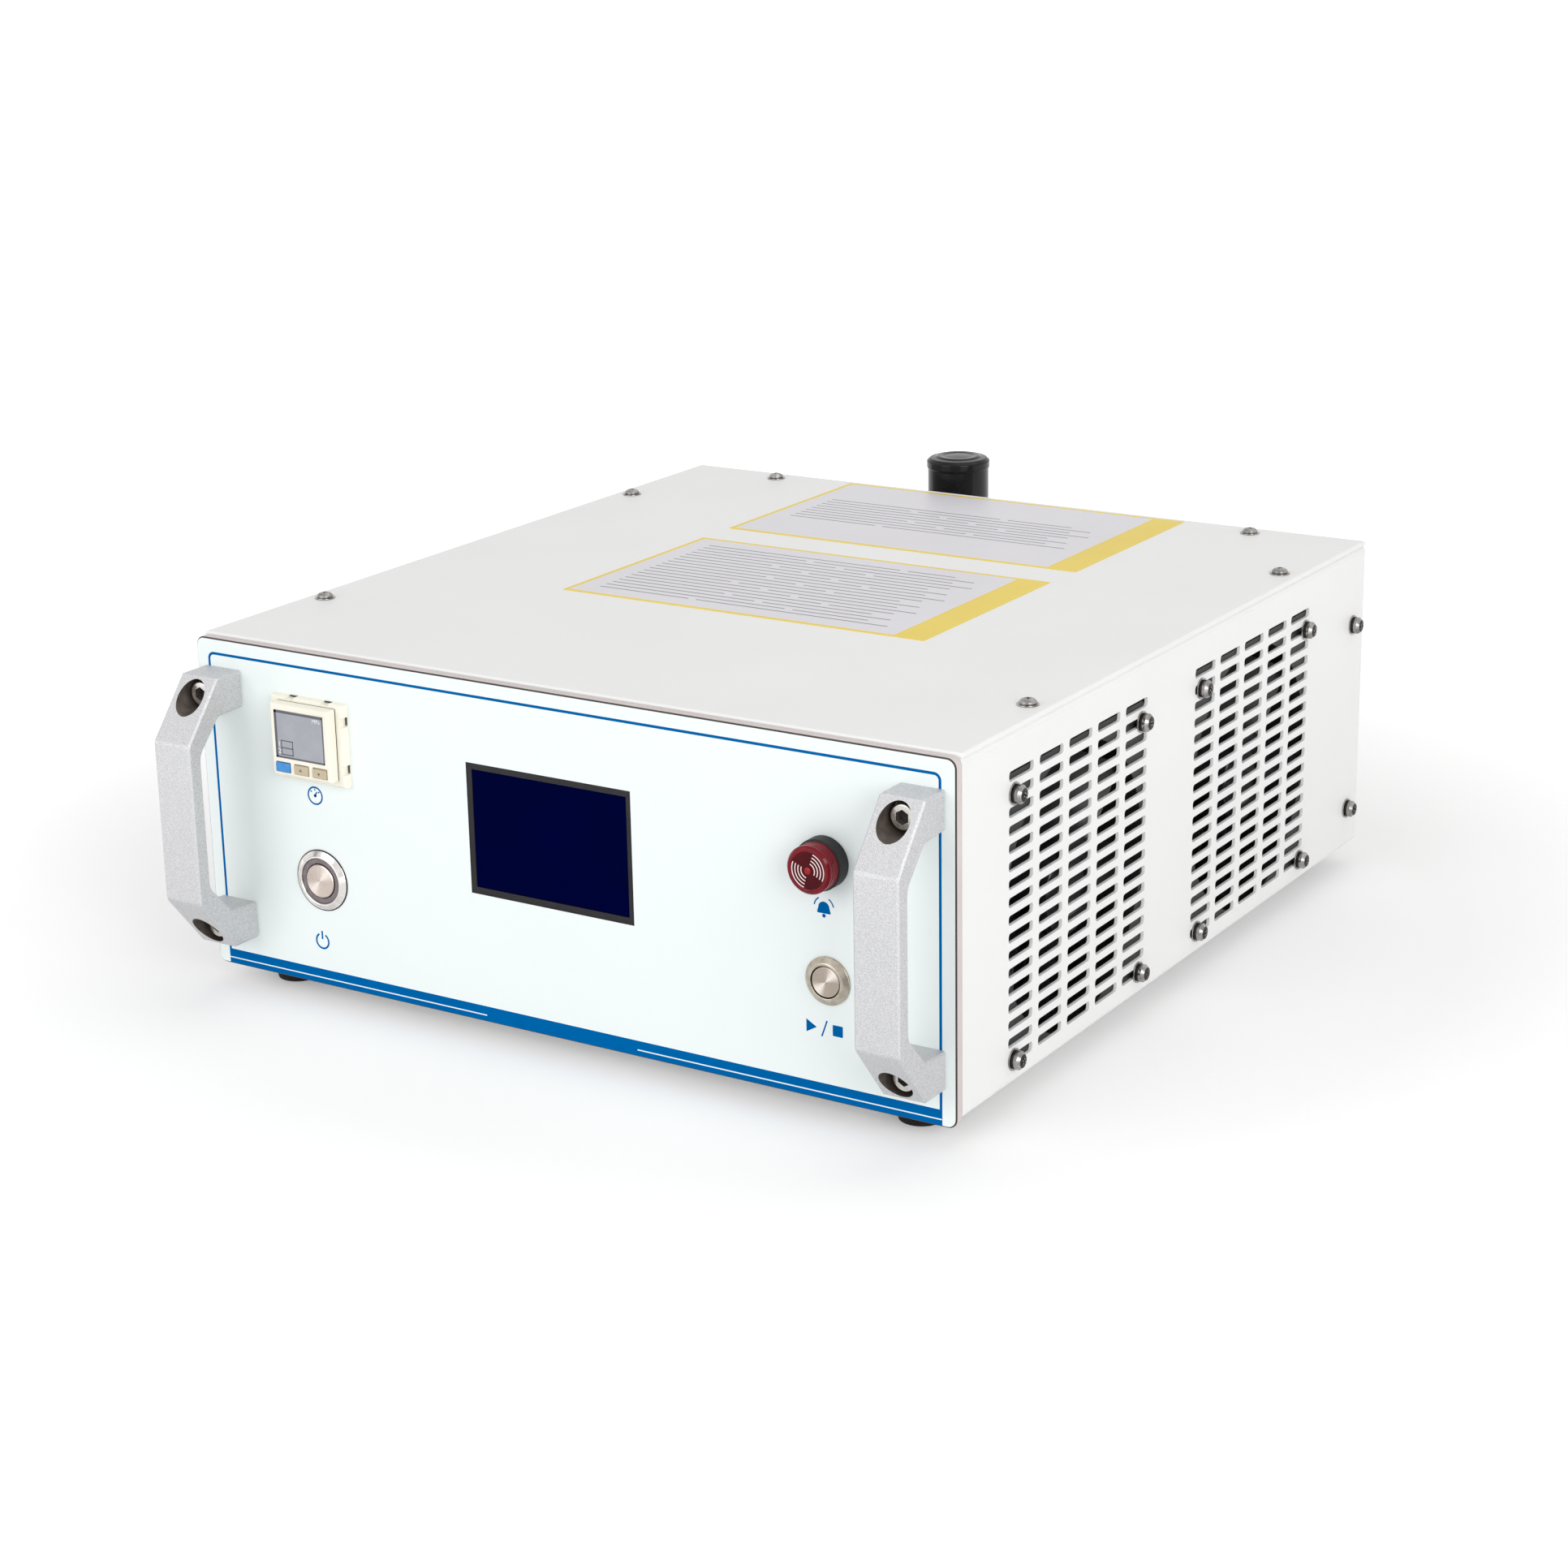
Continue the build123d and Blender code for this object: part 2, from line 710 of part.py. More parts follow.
for name, middle_y in fan_middles.items():
    with BuildPart() as fan_frame:
        with BuildSketch(side_plane(fan_inner_x)) as fan_outline:
            with Locations((middle_y, fan_middle_z)):
                Rectangle(fan_size, fan_size)
            chamfer(fan_outline.vertices(), fan_corner)
        extrude(amount=fan_depth)
        with BuildSketch(side_plane(fan_inner_x)):
            with Locations((middle_y, fan_middle_z)):
                RegularPolygon(fan_duct_radius, duct_sides)
                with GridLocations(fan_hole_spacing, fan_hole_spacing, 2, 2):
                    RegularPolygon(screw_radius + hole_gap, hole_sides)
        extrude(amount=fan_depth, mode=Mode.SUBTRACT)
        with BuildSketch(side_plane(fan_inner_x)):
            with Locations((middle_y, fan_middle_z)):
                Rectangle(2 * fan_duct_radius + 1, spoke_width)
                Rectangle(spoke_width, 2 * fan_duct_radius + 1)
                RegularPolygon(motor_radius, hub_sides)
        extrude(amount=motor_plate)
        with BuildSketch(side_plane(fan_inner_x + motor_plate)):
            with Locations((middle_y, fan_middle_z)):
                Circle(axle_radius)
        extrude(amount=hub_depth - 2)
    fan_frame.part.label = f"fan_frame_{name}"
    export_step(fan_frame.part, f"parts/fan_frame_{name}.step")

    hub_low = fan_inner_x + motor_plate + 0.6
    with BuildPart() as fan_rotor:
        with BuildSketch(side_plane(hub_low)):
            with Locations((middle_y, fan_middle_z)):
                RegularPolygon(hub_radius, hub_sides)
        extrude(amount=hub_depth)
        with BuildSketch(side_plane(hub_low)):
            with Locations((middle_y, fan_middle_z)):
                Circle(axle_radius + running_gap)
        extrude(amount=hub_depth - 2, mode=Mode.SUBTRACT)
        hub_centre = (hub_low + hub_depth / 2, middle_y, fan_middle_z)
        for spot in PolarLocations(hub_radius - 1.5, blade_count):
            outward = (0, spot.position.X, spot.position.Y)
            root = Plane(origin=hub_centre, x_dir=(1, 0, 0), z_dir=outward).offset(hub_radius - 1.5)
            with BuildSketch(root):
                Rectangle(blade_chord, blade_thickness, rotation=blade_pitch)
            extrude(amount=blade_tip - hub_radius + 1.5)
    fan_rotor.part.label = f"fan_rotor_{name}"
    export_step(fan_rotor.part, f"parts/fan_rotor_{name}.step")

# Inside: transformer, inverter board with heatsink, low voltage supply, gas valve

with BuildPart() as transformer_core:
    with BuildSketch(front_plane(transformer_place[1] + 20)):
        with Locations((transformer_place[0], inside_floor + 32)):
            Rectangle(78, 64)
            with GridLocations(38, 1, 2, 1):
                Rectangle(14, 38, mode=Mode.SUBTRACT)
    extrude(amount=40)
transformer_core.part.label = "transformer_core"
export_step(transformer_core.part, "parts/transformer_core.step")

with BuildPart() as transformer_winding:
    with BuildSketch(Plane.XY.offset(inside_floor + 14)):
        with Locations(transformer_place):
            RectangleRounded(50, 66, 8)
            Rectangle(24, 40, mode=Mode.SUBTRACT)
    extrude(amount=36)
transformer_winding.part.label = "transformer_winding"
export_step(transformer_winding.part, "parts/transformer_winding.step")

with BuildPart() as inverter_board:
    with BuildSketch(Plane.XY.offset(board_height)):
        with Locations(board_place):
            Rectangle(board_width, board_length)
    extrude(amount=board_thickness)
    with BuildSketch(Plane.XY.offset(board_height + board_thickness)):
        with Locations((board_place[0] - 55, board_place[1] - 35)):
            with GridLocations(30, 30, 2, 2):
                RegularPolygon(12, 8)
    extrude(amount=36)
inverter_board.part.label = "inverter_board"
export_step(inverter_board.part, "parts/inverter_board.step")

with BuildPart() as board_standoffs:
    with BuildSketch(Plane.XY.offset(inside_floor)):
        with Locations(board_place):
            with GridLocations(*standoff_spacing, 2, 2):
                RegularPolygon(4, 6)
    extrude(amount=board_height - inside_floor)
board_standoffs.part.label = "board_standoffs"
export_step(board_standoffs.part, "parts/board_standoffs.step")

with BuildPart() as heatsink:
    with BuildSketch(front_plane(heatsink_place[1] + 35)):
        with Locations((heatsink_place[0], board_height + board_thickness)):
            Rectangle(fin_count * fin_pitch, 5, align=(Align.CENTER, Align.MIN))
        with Locations((heatsink_place[0], board_height + board_thickness + 5)):
            with GridLocations(fin_pitch, 1, fin_count, 1):
                Trapezoid(3, 30, 88, align=(Align.CENTER, Align.MIN))
    extrude(amount=70)
heatsink.part.label = "heatsink"
export_step(heatsink.part, "parts/heatsink.step")

with BuildPart() as low_voltage_supply:
    with Locations((70, -85, inside_floor)):
        Box(98, 129, 38, align=(Align.CENTER, Align.CENTER, Align.MIN))
    chamfer(low_voltage_supply.edges().filter_by(Axis.Y), 2)
low_voltage_supply.part.label = "low_voltage_supply"
export_step(low_voltage_supply.part, "parts/low_voltage_supply.step")

with BuildPart() as gas_valve:
    with Locations((-60, -60, inside_floor)):
        Box(24, 62, 18, align=(Align.CENTER, Align.CENTER, Align.MIN))
    with Locations((-60, -50, inside_floor + 18)):
        Box(22, 30, 28, align=(Align.CENTER, Align.CENTER, Align.MIN))
gas_valve.part.label = "gas_valve"
export_step(gas_valve.part, "parts/gas_valve.step")

# Mains inlet with its fuse drawer

with BuildPart() as mains_inlet:
    with BuildSketch(front_plane(case_back + inlet_flange)):
        with Locations(inlet_place):
            Rectangle(inlet_flange_width, inlet_flange_height)
    extrude(amount=inlet_flange)
    chamfer(mains_inlet.edges().filter_by(Axis.Y), 3)
    with BuildSketch(front_plane(case_back)):
        with Locations(inlet_place):
            Rectangle(inlet_body_width, inlet_body_height)
    extrude(amount=inlet_depth)
    with BuildSketch(front_plane(case_back + inlet_flange)) as socket_outline:
        with Locations((inlet_place[0], socket_height)):
            Rectangle(24.4, 16.6)
        chamfer(socket_outline.vertices().group_by(Axis.Y)[-1], 4.5)
    extrude(amount=socket_depth, mode=Mode.SUBTRACT)
    with BuildSketch(front_plane(case_back + inlet_flange)):
        with Locations((inlet_place[0], drawer_height)):
            Rectangle(drawer_width + 0.6, drawer_thickness + 0.6)
    extrude(amount=drawer_length + 1, mode=Mode.SUBTRACT)
mains_inlet.part.label = "mains_inlet"
export_step(mains_inlet.part, "parts/mains_inlet.step")

with BuildPart() as mains_pins:
    with BuildSketch(front_plane(case_back + inlet_flange - socket_depth)):
        with Locations((inlet_place[0] - 7, 55.6), (inlet_place[0] + 7, 55.6), (inlet_place[0], 59.6)):
            Rectangle(2, 4)
    extrude(amount=-(socket_depth - 2))
mains_pins.part.label = "mains_pins"
export_step(mains_pins.part, "parts/mains_pins.step")

with BuildPart() as fuse_drawer:
    with BuildSketch(front_plane(case_back + inlet_flange)):
        with Locations((inlet_place[0], drawer_height)):
            Rectangle(drawer_width, drawer_thickness)
    extrude(amount=drawer_length)
    with BuildSketch(front_plane(case_back + inlet_flange + drawer_lip)):
        with Locations((inlet_place[0], drawer_height)):
            Rectangle(drawer_width + 1.4, drawer_thickness + 1.2)
            Rectangle(6, drawer_thickness + 1.2, mode=Mode.SUBTRACT)
            Rectangle(6, drawer_thickness - 2)
    extrude(amount=drawer_lip)
    with BuildSketch(Plane.XY.offset(drawer_height - drawer_thickness / 2 + 1)):
        with Locations((inlet_place[0], case_back + inlet_flange - 11)):
            Rectangle(drawer_width - 3, 14)
    extrude(amount=drawer_thickness, mode=Mode.SUBTRACT)
fuse_drawer.part.label = "fuse_drawer"
export_step(fuse_drawer.part, "parts/fuse_drawer.step")

# Torch socket, remote socket, gas outlet and earth stud

with BuildPart() as torch_socket:
    with BuildSketch(front_plane(case_back + 3)):
        with Locations(torch_place):
            RectangleRounded(36, 36, 3)
    extrude(amount=3)
    with BuildSketch(turned_plane(torch_place, case_back)):
        with BuildLine():
            Polyline(
                (14, 0),
                (14, torch_bore_radius + 2),
                (-19, torch_bore_radius + 2),
                (-19, torch_bore_radius),
                (-1.5, torch_bore_radius),
                (-1.5, 0),
                close=True,
            )
        make_face()
    revolve(axis=turned_axis(torch_place))
    with BuildSketch(front_plane(case_back + 19)):
        with Locations(torch_place):
            Circle(torch_bore_radius)
    extrude(amount=17.5, mode=Mode.SUBTRACT)
torch_socket.part.label = "torch_socket"
export_step(torch_socket.part, "parts/torch_socket.step")

with BuildPart() as remote_socket:
    with BuildSketch(front_plane(case_back + 2.5)):
        with Locations(remote_place):
            RegularPolygon(9.5, 6, major_radius=False)
    extrude(amount=2.5)
    with BuildSketch(turned_plane(remote_place, case_back)):
        with BuildLine():
            Polyline(
                (14, 0),
                (14, small_thread_radius),
                (-10, small_thread_radius),
                (-10, 6.2),
                (-8.5, 6.2),
                (-8.5, 0),
                close=True,
            )
        make_face()
    revolve(axis=turned_axis(remote_place))
remote_socket.part.label = "remote_socket"
export_step(remote_socket.part, "parts/remote_socket.step")

with BuildPart() as gas_outlet:
    with BuildSketch(front_plane(case_back + 5)):
        with Locations(gas_place):
            RegularPolygon(8.5, 6, major_radius=False)
    extrude(amount=5)
    with BuildSketch(turned_plane(gas_place, case_back)):
        with BuildLine():
            Polyline(
                (16, 0),
                (16, outlet_radius),
                (0, outlet_radius),
                (-5, 7.6),
                (-12, 7.6),
                (-12, 0),
                close=True,
            )
        make_face()
    revolve(axis=turned_axis(gas_place))
    with BuildSketch(turned_plane(gas_place, case_back)):
        with BuildLine():
            Polyline(
                (8, 0),
                (8, gas_tube_radius),
                (-5.5, gas_tube_radius),
                (-5.5, 5.8),
                (-12, 5.8),
                (-12, 0),
                close=True,
            )
        make_face()
    revolve(axis=turned_axis(gas_place), mode=Mode.SUBTRACT)
gas_outlet.part.label = "gas_outlet"
export_step(gas_outlet.part, "parts/gas_outlet.step")

with BuildPart() as gas_release_ring:
    with BuildSketch(turned_plane(gas_place, case_back)):
        with BuildLine():
            Polyline(
                (-7, 4.4),
                (-7, 5.5),
                (-13.3, 5.5),
                (-13.3, 6.8),
                (-15, 6.8),
                (-15, 4.4),
                close=True,
            )
        make_face()
    revolve(axis=turned_axis(gas_place))
gas_release_ring.part.label = "gas_release_ring"
export_step(gas_release_ring.part, "parts/gas_release_ring.step")

with BuildPart() as earth_stud:
    with BuildSketch(front_plane(case_back + 16)):
        with Locations(stud_place):
            Circle(stud_radius)
    extrude(amount=30)
    with BuildSketch(front_plane(case_back + 4)):
        with Locations(stud_place):
            RegularPolygon(5, 6, major_radius=False)
    extrude(amount=4)
    with BuildSketch(front_plane(case_back - sheet)):
        with Locations(stud_place):
            RegularPolygon(5, 6, major_radius=False)
    extrude(amount=4)
earth_stud.part.label = "earth_stud"
export_step(earth_stud.part, "parts/earth_stud.step")

# Filter regulator: body with two ports, neck for the ring nut, bowl below

with BuildPart() as regulator_body:
    with BuildSketch(Plane.XY.offset(body_low)):
        with Locations(regulator_axis_place):
            Rectangle(regulator_side, regulator_side)
    extrude(amount=body_high - body_low)
    chamfer(regulator_body.edges().filter_by(Axis.Z), 3)
    with BuildSketch(Plane.XY.offset(body_high)):
        with Locations(regulator_axis_place):
            Circle(shoulder_radius)
    extrude(amount=shoulder_top - body_high)
    with BuildSketch(Plane.XY.offset(shoulder_top)):
        with Locations(regulator_axis_place):
            Circle(neck_radius)
    extrude(amount=neck_top - shoulder_top)
    with BuildSketch(Plane.XY.offset(neck_top)):
        with Locations(regulator_axis_place):
            Circle(stem_radius + running_gap)
    extrude(amount=stem_low - neck_top, mode=Mode.SUBTRACT)
    with BuildSketch(Plane.XY.offset(body_low)):
        with Locations(regulator_axis_place):
            Circle(bowl_radius - bowl_wall)
    extrude(amount=6, mode=Mode.SUBTRACT)
    with BuildSketch(side_plane(regulator_x - regulator_side / 2)):
        with Locations((regulator_y, port_height)):
            Circle(port_radius)
    extrude(amount=11, mode=Mode.SUBTRACT)
    with BuildSketch(side_plane(regulator_x + regulator_side / 2)):
        with Locations((regulator_y, port_height)):
            Circle(outlet_radius)
    extrude(amount=-9, mode=Mode.SUBTRACT)
regulator_body.part.label = "regulator_body"
export_step(regulator_body.part, "parts/regulator_body.step")

# Angle bracket between the shoulder and the ring nut, screwed to the rear panel
with BuildPart() as regulator_bracket:
    with BuildSketch(Plane.XY.offset(shoulder_top)):
        with Locations((regulator_x, case_back)):
            Rectangle(42, regulator_y - case_back, align=(Align.CENTER, Align.MIN))
        with Locations(regulator_axis_place):
            Circle(regulator_side / 2)
            Circle(neck_radius, mode=Mode.SUBTRACT)
    extrude(amount=bracket_plate)
    with BuildSketch(front_plane(case_back + bracket_plate)):
        with Locations((regulator_x, shoulder_top + bracket_plate)):
            Rectangle(42, 26, align=(Align.CENTER, Align.MAX))
        with Locations(*bracket_screw_places):
            RegularPolygon(screw_radius + hole_gap, hole_sides, mode=Mode.SUBTRACT)
    extrude(amount=bracket_plate)
regulator_bracket.part.label = "regulator_bracket"
export_step(regulator_bracket.part, "parts/regulator_bracket.step")

with BuildPart() as regulator_ring_nut:
    with BuildSketch(Plane.XY.offset(shoulder_top + bracket_plate)):
        with Locations(regulator_axis_place):
            RegularPolygon(ring_nut_radius, 12)
            Circle(neck_radius, mode=Mode.SUBTRACT)
    extrude(amount=ring_nut_height)
regulator_ring_nut.part.label = "regulator_ring_nut"
export_step(regulator_ring_nut.part, "parts/regulator_ring_nut.step")

with BuildPart() as regulator_stem:
    with BuildSketch(Plane.XY.offset(stem_low + 0.5)):
        with Locations(regulator_axis_place):
            Circle(stem_radius)
    extrude(amount=stem_top - stem_low - 0.5)
regulator_stem.part.label = "regulator_stem"
export_step(regulator_stem.part, "parts/regulator_stem.step")

# Knob: a deep skirt over the adjusting stem, with a raised disc on top
with BuildPart() as regulator_knob:
    with BuildSketch(upright_plane(regulator_axis_place)):
        with BuildLine():
            Polyline(
                (stem_radius + running_gap, stem_top + 1),
                (stem_radius + running_gap, knob_bottom),
                (knob_radius, knob_bottom),
                (knob_radius, knob_top - 2.2),
                (knob_radius - 1.4, knob_top - 0.8),
                (knob_radius - 4.5, knob_top - 0.8),
                (knob_radius - 4.5, knob_top),
                (0, knob_top),
                (0, stem_top + 1),
                close=True,
            )
        make_face()
    revolve(axis=upright_axis(regulator_axis_place))
regulator_knob.part.label = "regulator_knob"
export_step(regulator_knob.part, "parts/regulator_knob.step")

with BuildPart() as filter_bowl:
    with BuildSketch(upright_plane(regulator_axis_place)):
        with BuildLine():
            Polyline(
                (bowl_radius - bowl_wall, body_low + 5),
                (bowl_radius - bowl_wall, body_low),
                (bowl_radius, body_low),
                (bowl_radius, bowl_low + 9),
                (bowl_radius - 7, bowl_low),
                (cock_radius + running_gap, bowl_low),
                (cock_radius + running_gap, bowl_low + 6),
                (bowl_radius - 2 * bowl_wall, bowl_low + 6),
                (bowl_radius - 2 * bowl_wall, body_low + 5),
                close=True,
            )
        make_face()
    revolve(axis=upright_axis(regulator_axis_place))
filter_bowl.part.label = "filter_bowl"
export_step(filter_bowl.part, "parts/filter_bowl.step")

with BuildPart() as drain_cock:
    with BuildSketch(Plane.XY.offset(bowl_low + bowl_wall + 2)):
        with Locations(regulator_axis_place):
            Circle(cock_radius)
    extrude(amount=-(bowl_wall + 2.5))
    with BuildSketch(Plane.XY.offset(bowl_low - 0.5)):
        with Locations(regulator_axis_place):
            RegularPolygon(8, 8)
    extrude(amount=-7)
    with BuildSketch(Plane.XY.offset(bowl_low - 7.5)):
        with Locations(regulator_axis_place):
            Circle(3)
    extrude(amount=-5)
drain_cock.part.label = "drain_cock"
export_step(drain_cock.part, "parts/drain_cock.step")

# Forged elbow from the regulator's outlet into the case
with BuildPart() as outlet_elbow:
    with Locations((elbow_x, regulator_y, port_height)):
        Box(elbow_size, elbow_size, elbow_size)
    chamfer(outlet_elbow.edges().filter_by(Axis.Z), 2)
    with BuildSketch(side_plane(elbow_x - elbow_size / 2)):
        with Locations((regulator_y, port_height)):
            Circle(outlet_radius)
    extrude(amount=-(elbow_x - elbow_size / 2 - regulator_x - regulator_side / 2 + 8))
    with BuildSketch(front_plane(regulator_y - elbow_size / 2)):
        with Locations((elbow_x, port_height)):
            Circle(outlet_radius)
    extrude(amount=regulator_y - elbow_size / 2 - case_back + 14)
    with BuildSketch(front_plane(case_back + 5)):
        with Locations((elbow_x, port_height)):
            RegularPolygon(9.5, 6, major_radius=False)
    extrude(amount=5)
outlet_elbow.part.label = "outlet_elbow"
export_step(outlet_elbow.part, "parts/outlet_elbow.step")

# Screws: the spring-washer type on the sides and the regulator, the plain one on the cover

side_screw_planes = [
    Plane(origin=(case_half_width, y, z), x_dir=(0, 1, 0), z_dir=(1, 0, 0))
    for y, z in fan_screw_places + side_screw_places
]
side_screw_planes += [
    Plane(origin=(-case_half_width, y, z), x_dir=(0, 1, 0), z_dir=(-1, 0, 0)) for y, z in side_screw_places
]
side_screw_planes += [
    Plane(origin=(x, case_back + bracket_plate, z), x_dir=(1, 0, 0), z_dir=(0, 1, 0))
    for x, z in bracket_screw_places
]
with BuildPart() as panel_screws:
    for seat in side_screw_planes:
        with BuildSketch(seat):
            RegularPolygon(screw_head_radius, head_sides)
        extrude(amount=screw_head_height)
        with BuildSketch(seat):
            RegularPolygon(screw_radius, shank_sides)
        extrude(amount=-screw_length)
panel_screws.part.label = "panel_screws"
export_step(panel_screws.part, "parts/panel_screws.step")

with BuildPart() as cover_screws:
    cover_screw_places = edge_cover_screws + rear_cover_screws
    with BuildSketch(Plane.XY.offset(case_top)):
        with Locations(*cover_screw_places):
            RegularPolygon(cover_head_radius, head_sides)
    extrude(amount=cover_head_height)
    with BuildSketch(Plane.XY.offset(case_top)):
        with Locations(*cover_screw_places):
            RegularPolygon(cover_screw_radius, shank_sides)
    extrude(amount=-cover_screw_length)
cover_screws.part.label = "cover_screws"
export_step(cover_screws.part, "parts/cover_screws.step")
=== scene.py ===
import json
import math

import bmesh
import bpy
from mathutils import Matrix, Vector


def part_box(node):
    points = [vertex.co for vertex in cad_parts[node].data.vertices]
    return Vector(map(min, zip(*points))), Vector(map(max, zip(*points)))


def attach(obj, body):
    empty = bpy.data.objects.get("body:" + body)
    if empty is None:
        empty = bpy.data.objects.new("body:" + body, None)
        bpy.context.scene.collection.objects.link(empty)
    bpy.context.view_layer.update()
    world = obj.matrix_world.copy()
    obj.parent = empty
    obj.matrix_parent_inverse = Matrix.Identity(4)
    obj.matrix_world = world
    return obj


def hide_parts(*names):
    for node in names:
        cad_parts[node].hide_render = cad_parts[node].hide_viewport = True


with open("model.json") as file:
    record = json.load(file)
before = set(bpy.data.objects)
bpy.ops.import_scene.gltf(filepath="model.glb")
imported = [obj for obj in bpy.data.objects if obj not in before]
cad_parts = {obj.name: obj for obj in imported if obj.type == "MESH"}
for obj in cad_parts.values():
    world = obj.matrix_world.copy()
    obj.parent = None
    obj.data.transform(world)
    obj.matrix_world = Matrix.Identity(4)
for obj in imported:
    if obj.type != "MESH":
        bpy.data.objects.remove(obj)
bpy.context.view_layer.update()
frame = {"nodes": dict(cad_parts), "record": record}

# Power unit of a plasma cleaner: finishes, printed film, grilles, controls, screws and rear fittings.
# Metres. +Z is up, the front faces -Y and +X is the right side as seen from the front.
# Profiles and small sizes are written in millimetres and brought to metres by the shape makers.

mm = 0.001
nodes = frame["nodes"]
slots = {part["node"]: part["material_slot"] for part in frame["record"]["subparts"]}

front = Vector((0, -1, 0))
back = Vector((0, 1, 0))
right = Vector((1, 0, 0))
left = Vector((-1, 0, 0))
up = Vector((0, 0, 1))

front_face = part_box("front_overlay")[0].y
case_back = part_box("rear_panel")[1].y
cover_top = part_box("top_cover")[1].z


def middle(node):
    low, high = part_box(node)
    return (low + high) / 2


def on_front(node):
    # The middle of a front control, on the face of the film.
    spot = middle(node)
    return Vector((spot.x, front_face, spot.z))


def on_back(node):
    # The middle of a rear fitting, on the outside of the rear panel.
    spot = middle(node)
    return Vector((spot.x, case_back, spot.z))


# Finishes

finishes = {}


def colour(code):
    # Six hex digits as linear red, green, blue and alpha.
    values = [int(code[i : i + 2], 16) / 255 for i in (0, 2, 4)]
    return [v / 12.92 if v < 0.04045 else ((v + 0.055) / 1.055) ** 2.4 for v in values] + [1.0]


def noise(tree, grain, detail=3.0):
    # Noise in the piece's own coordinates, with grains of the given size in metres.
    place = tree.nodes.new("ShaderNodeTexCoord")
    pattern = tree.nodes.new("ShaderNodeTexNoise")
    pattern.inputs["Scale"].default_value = 1 / grain
    pattern.inputs["Detail"].default_value = detail
    tree.links.new(place.outputs["Object"], pattern.inputs["Vector"])
    return pattern.outputs["Fac"]


def rings(tree, centre, pitch):
    # Concentric tool marks round the axis of a front control.
    place = tree.nodes.new("ShaderNodeTexCoord")
    shift = tree.nodes.new("ShaderNodeMapping")
    shift.inputs["Location"].default_value = -Vector(centre)
    marks = tree.nodes.new("ShaderNodeTexWave")
    marks.wave_type = "RINGS"
    marks.rings_direction = "Y"
    marks.inputs["Scale"].default_value = 2 * math.pi / 20 / pitch
    marks.inputs["Distortion"].default_value = 0.6
    tree.links.new(place.outputs["Object"], shift.inputs["Vector"])
    tree.links.new(shift.outputs["Vector"], marks.inputs["Vector"])
    return marks.outputs["Fac"]


def between(tree, factor, low, high):
    spread = tree.nodes.new("ShaderNodeMapRange")
    spread.inputs["From Min"].default_value = 0.3
    spread.inputs["From Max"].default_value = 0.7
    spread.inputs["To Min"].default_value = low
    spread.inputs["To Max"].default_value = high
    tree.links.new(factor, spread.inputs["Value"])
    return spread.outputs["Result"]


def two_tones(tree, factor, first, second):
    ramp = tree.nodes.new("ShaderNodeValToRGB")
    ramp.color_ramp.elements[0].position = 0.35
    ramp.color_ramp.elements[1].position = 0.65
    ramp.color_ramp.elements[0].color = colour(first)
    ramp.color_ramp.elements[1].color = colour(second)
    tree.links.new(factor, ramp.inputs["Fac"])
    return ramp.outputs["Color"]


def relief(tree, shader, height, depth):
    bump = tree.nodes.new("ShaderNodeBump")
    bump.inputs["Distance"].default_value = depth
    tree.links.new(height, bump.inputs["Height"])
    tree.links.new(bump.outputs["Normal"], shader.inputs["Normal"])


def finish(
    name, tones, rough, cloud=0.03, grain=0.0006, depth=0.00002, marks=None, speckled=False, **sockets
):
    # Two tones in slow clouds or fine specks, a spread of roughness, and a relief of grain or turned marks.
    # The sizes of cloud, grain and relief are in metres.
    surface = bpy.data.materials.new(name)
    surface.use_nodes = True
    tree = surface.node_tree
    shader = tree.nodes["Principled BSDF"]
    fine = noise(tree, grain)
    if tones:
        pattern = fine if speckled else noise(tree, cloud, 4.0)
        tree.links.new(two_tones(tree, pattern, *tones), shader.inputs["Base Color"])
    tree.links.new(between(tree, fine, *rough), shader.inputs["Roughness"])
    relief(tree, shader, rings(tree, *marks) if marks else fine, depth)
    for socket, value in sockets.items():
        shader.inputs[socket.replace("_", " ")].default_value = value
    finishes[name] = surface
    return surface


def spun_finish_with_painted_sheen(name, centre, dark, light):
    # Spun steel: fine rings in the relief, and a painted sheen of light streaks that run out from the centre
    # of a front control.
    tree = finish(name, None, (0.24, 0.34), depth=0.000012, marks=(centre, 0.00025), Metallic=1.0).node_tree
    place = tree.nodes.new("ShaderNodeTexCoord")
    shift = tree.nodes.new("ShaderNodeMapping")
    shift.vector_type = "TEXTURE"
    shift.inputs["Location"].default_value = centre
    shift.inputs["Rotation"].default_value = (math.radians(90), 0, 0)
    # Painted sheen: light and dark streaks by angle round the centre stand in for the highlight of spun
    # metal.
    turn = tree.nodes.new("ShaderNodeTexGradient")
    turn.gradient_type = "RADIAL"
    painted_sheen_streaks = tree.nodes.new("ShaderNodeValToRGB")
    ramp = painted_sheen_streaks.color_ramp
    ramp.interpolation = "EASE"
    ramp.elements[0].color = colour(dark)
    ramp.elements[1].color = colour(dark)
    for step in range(1, 8):
        stop = ramp.elements.new(step / 8)
        stop.color = colour(light if step % 4 == 1 else dark)
    tree.links.new(place.outputs["Object"], shift.inputs["Vector"])
    tree.links.new(shift.outputs["Vector"], turn.inputs["Vector"])
    tree.links.new(turn.outputs["Fac"], painted_sheen_streaks.inputs["Fac"])
    tree.links.new(painted_sheen_streaks.outputs["Color"], tree.nodes["Principled BSDF"].inputs["Base Color"])


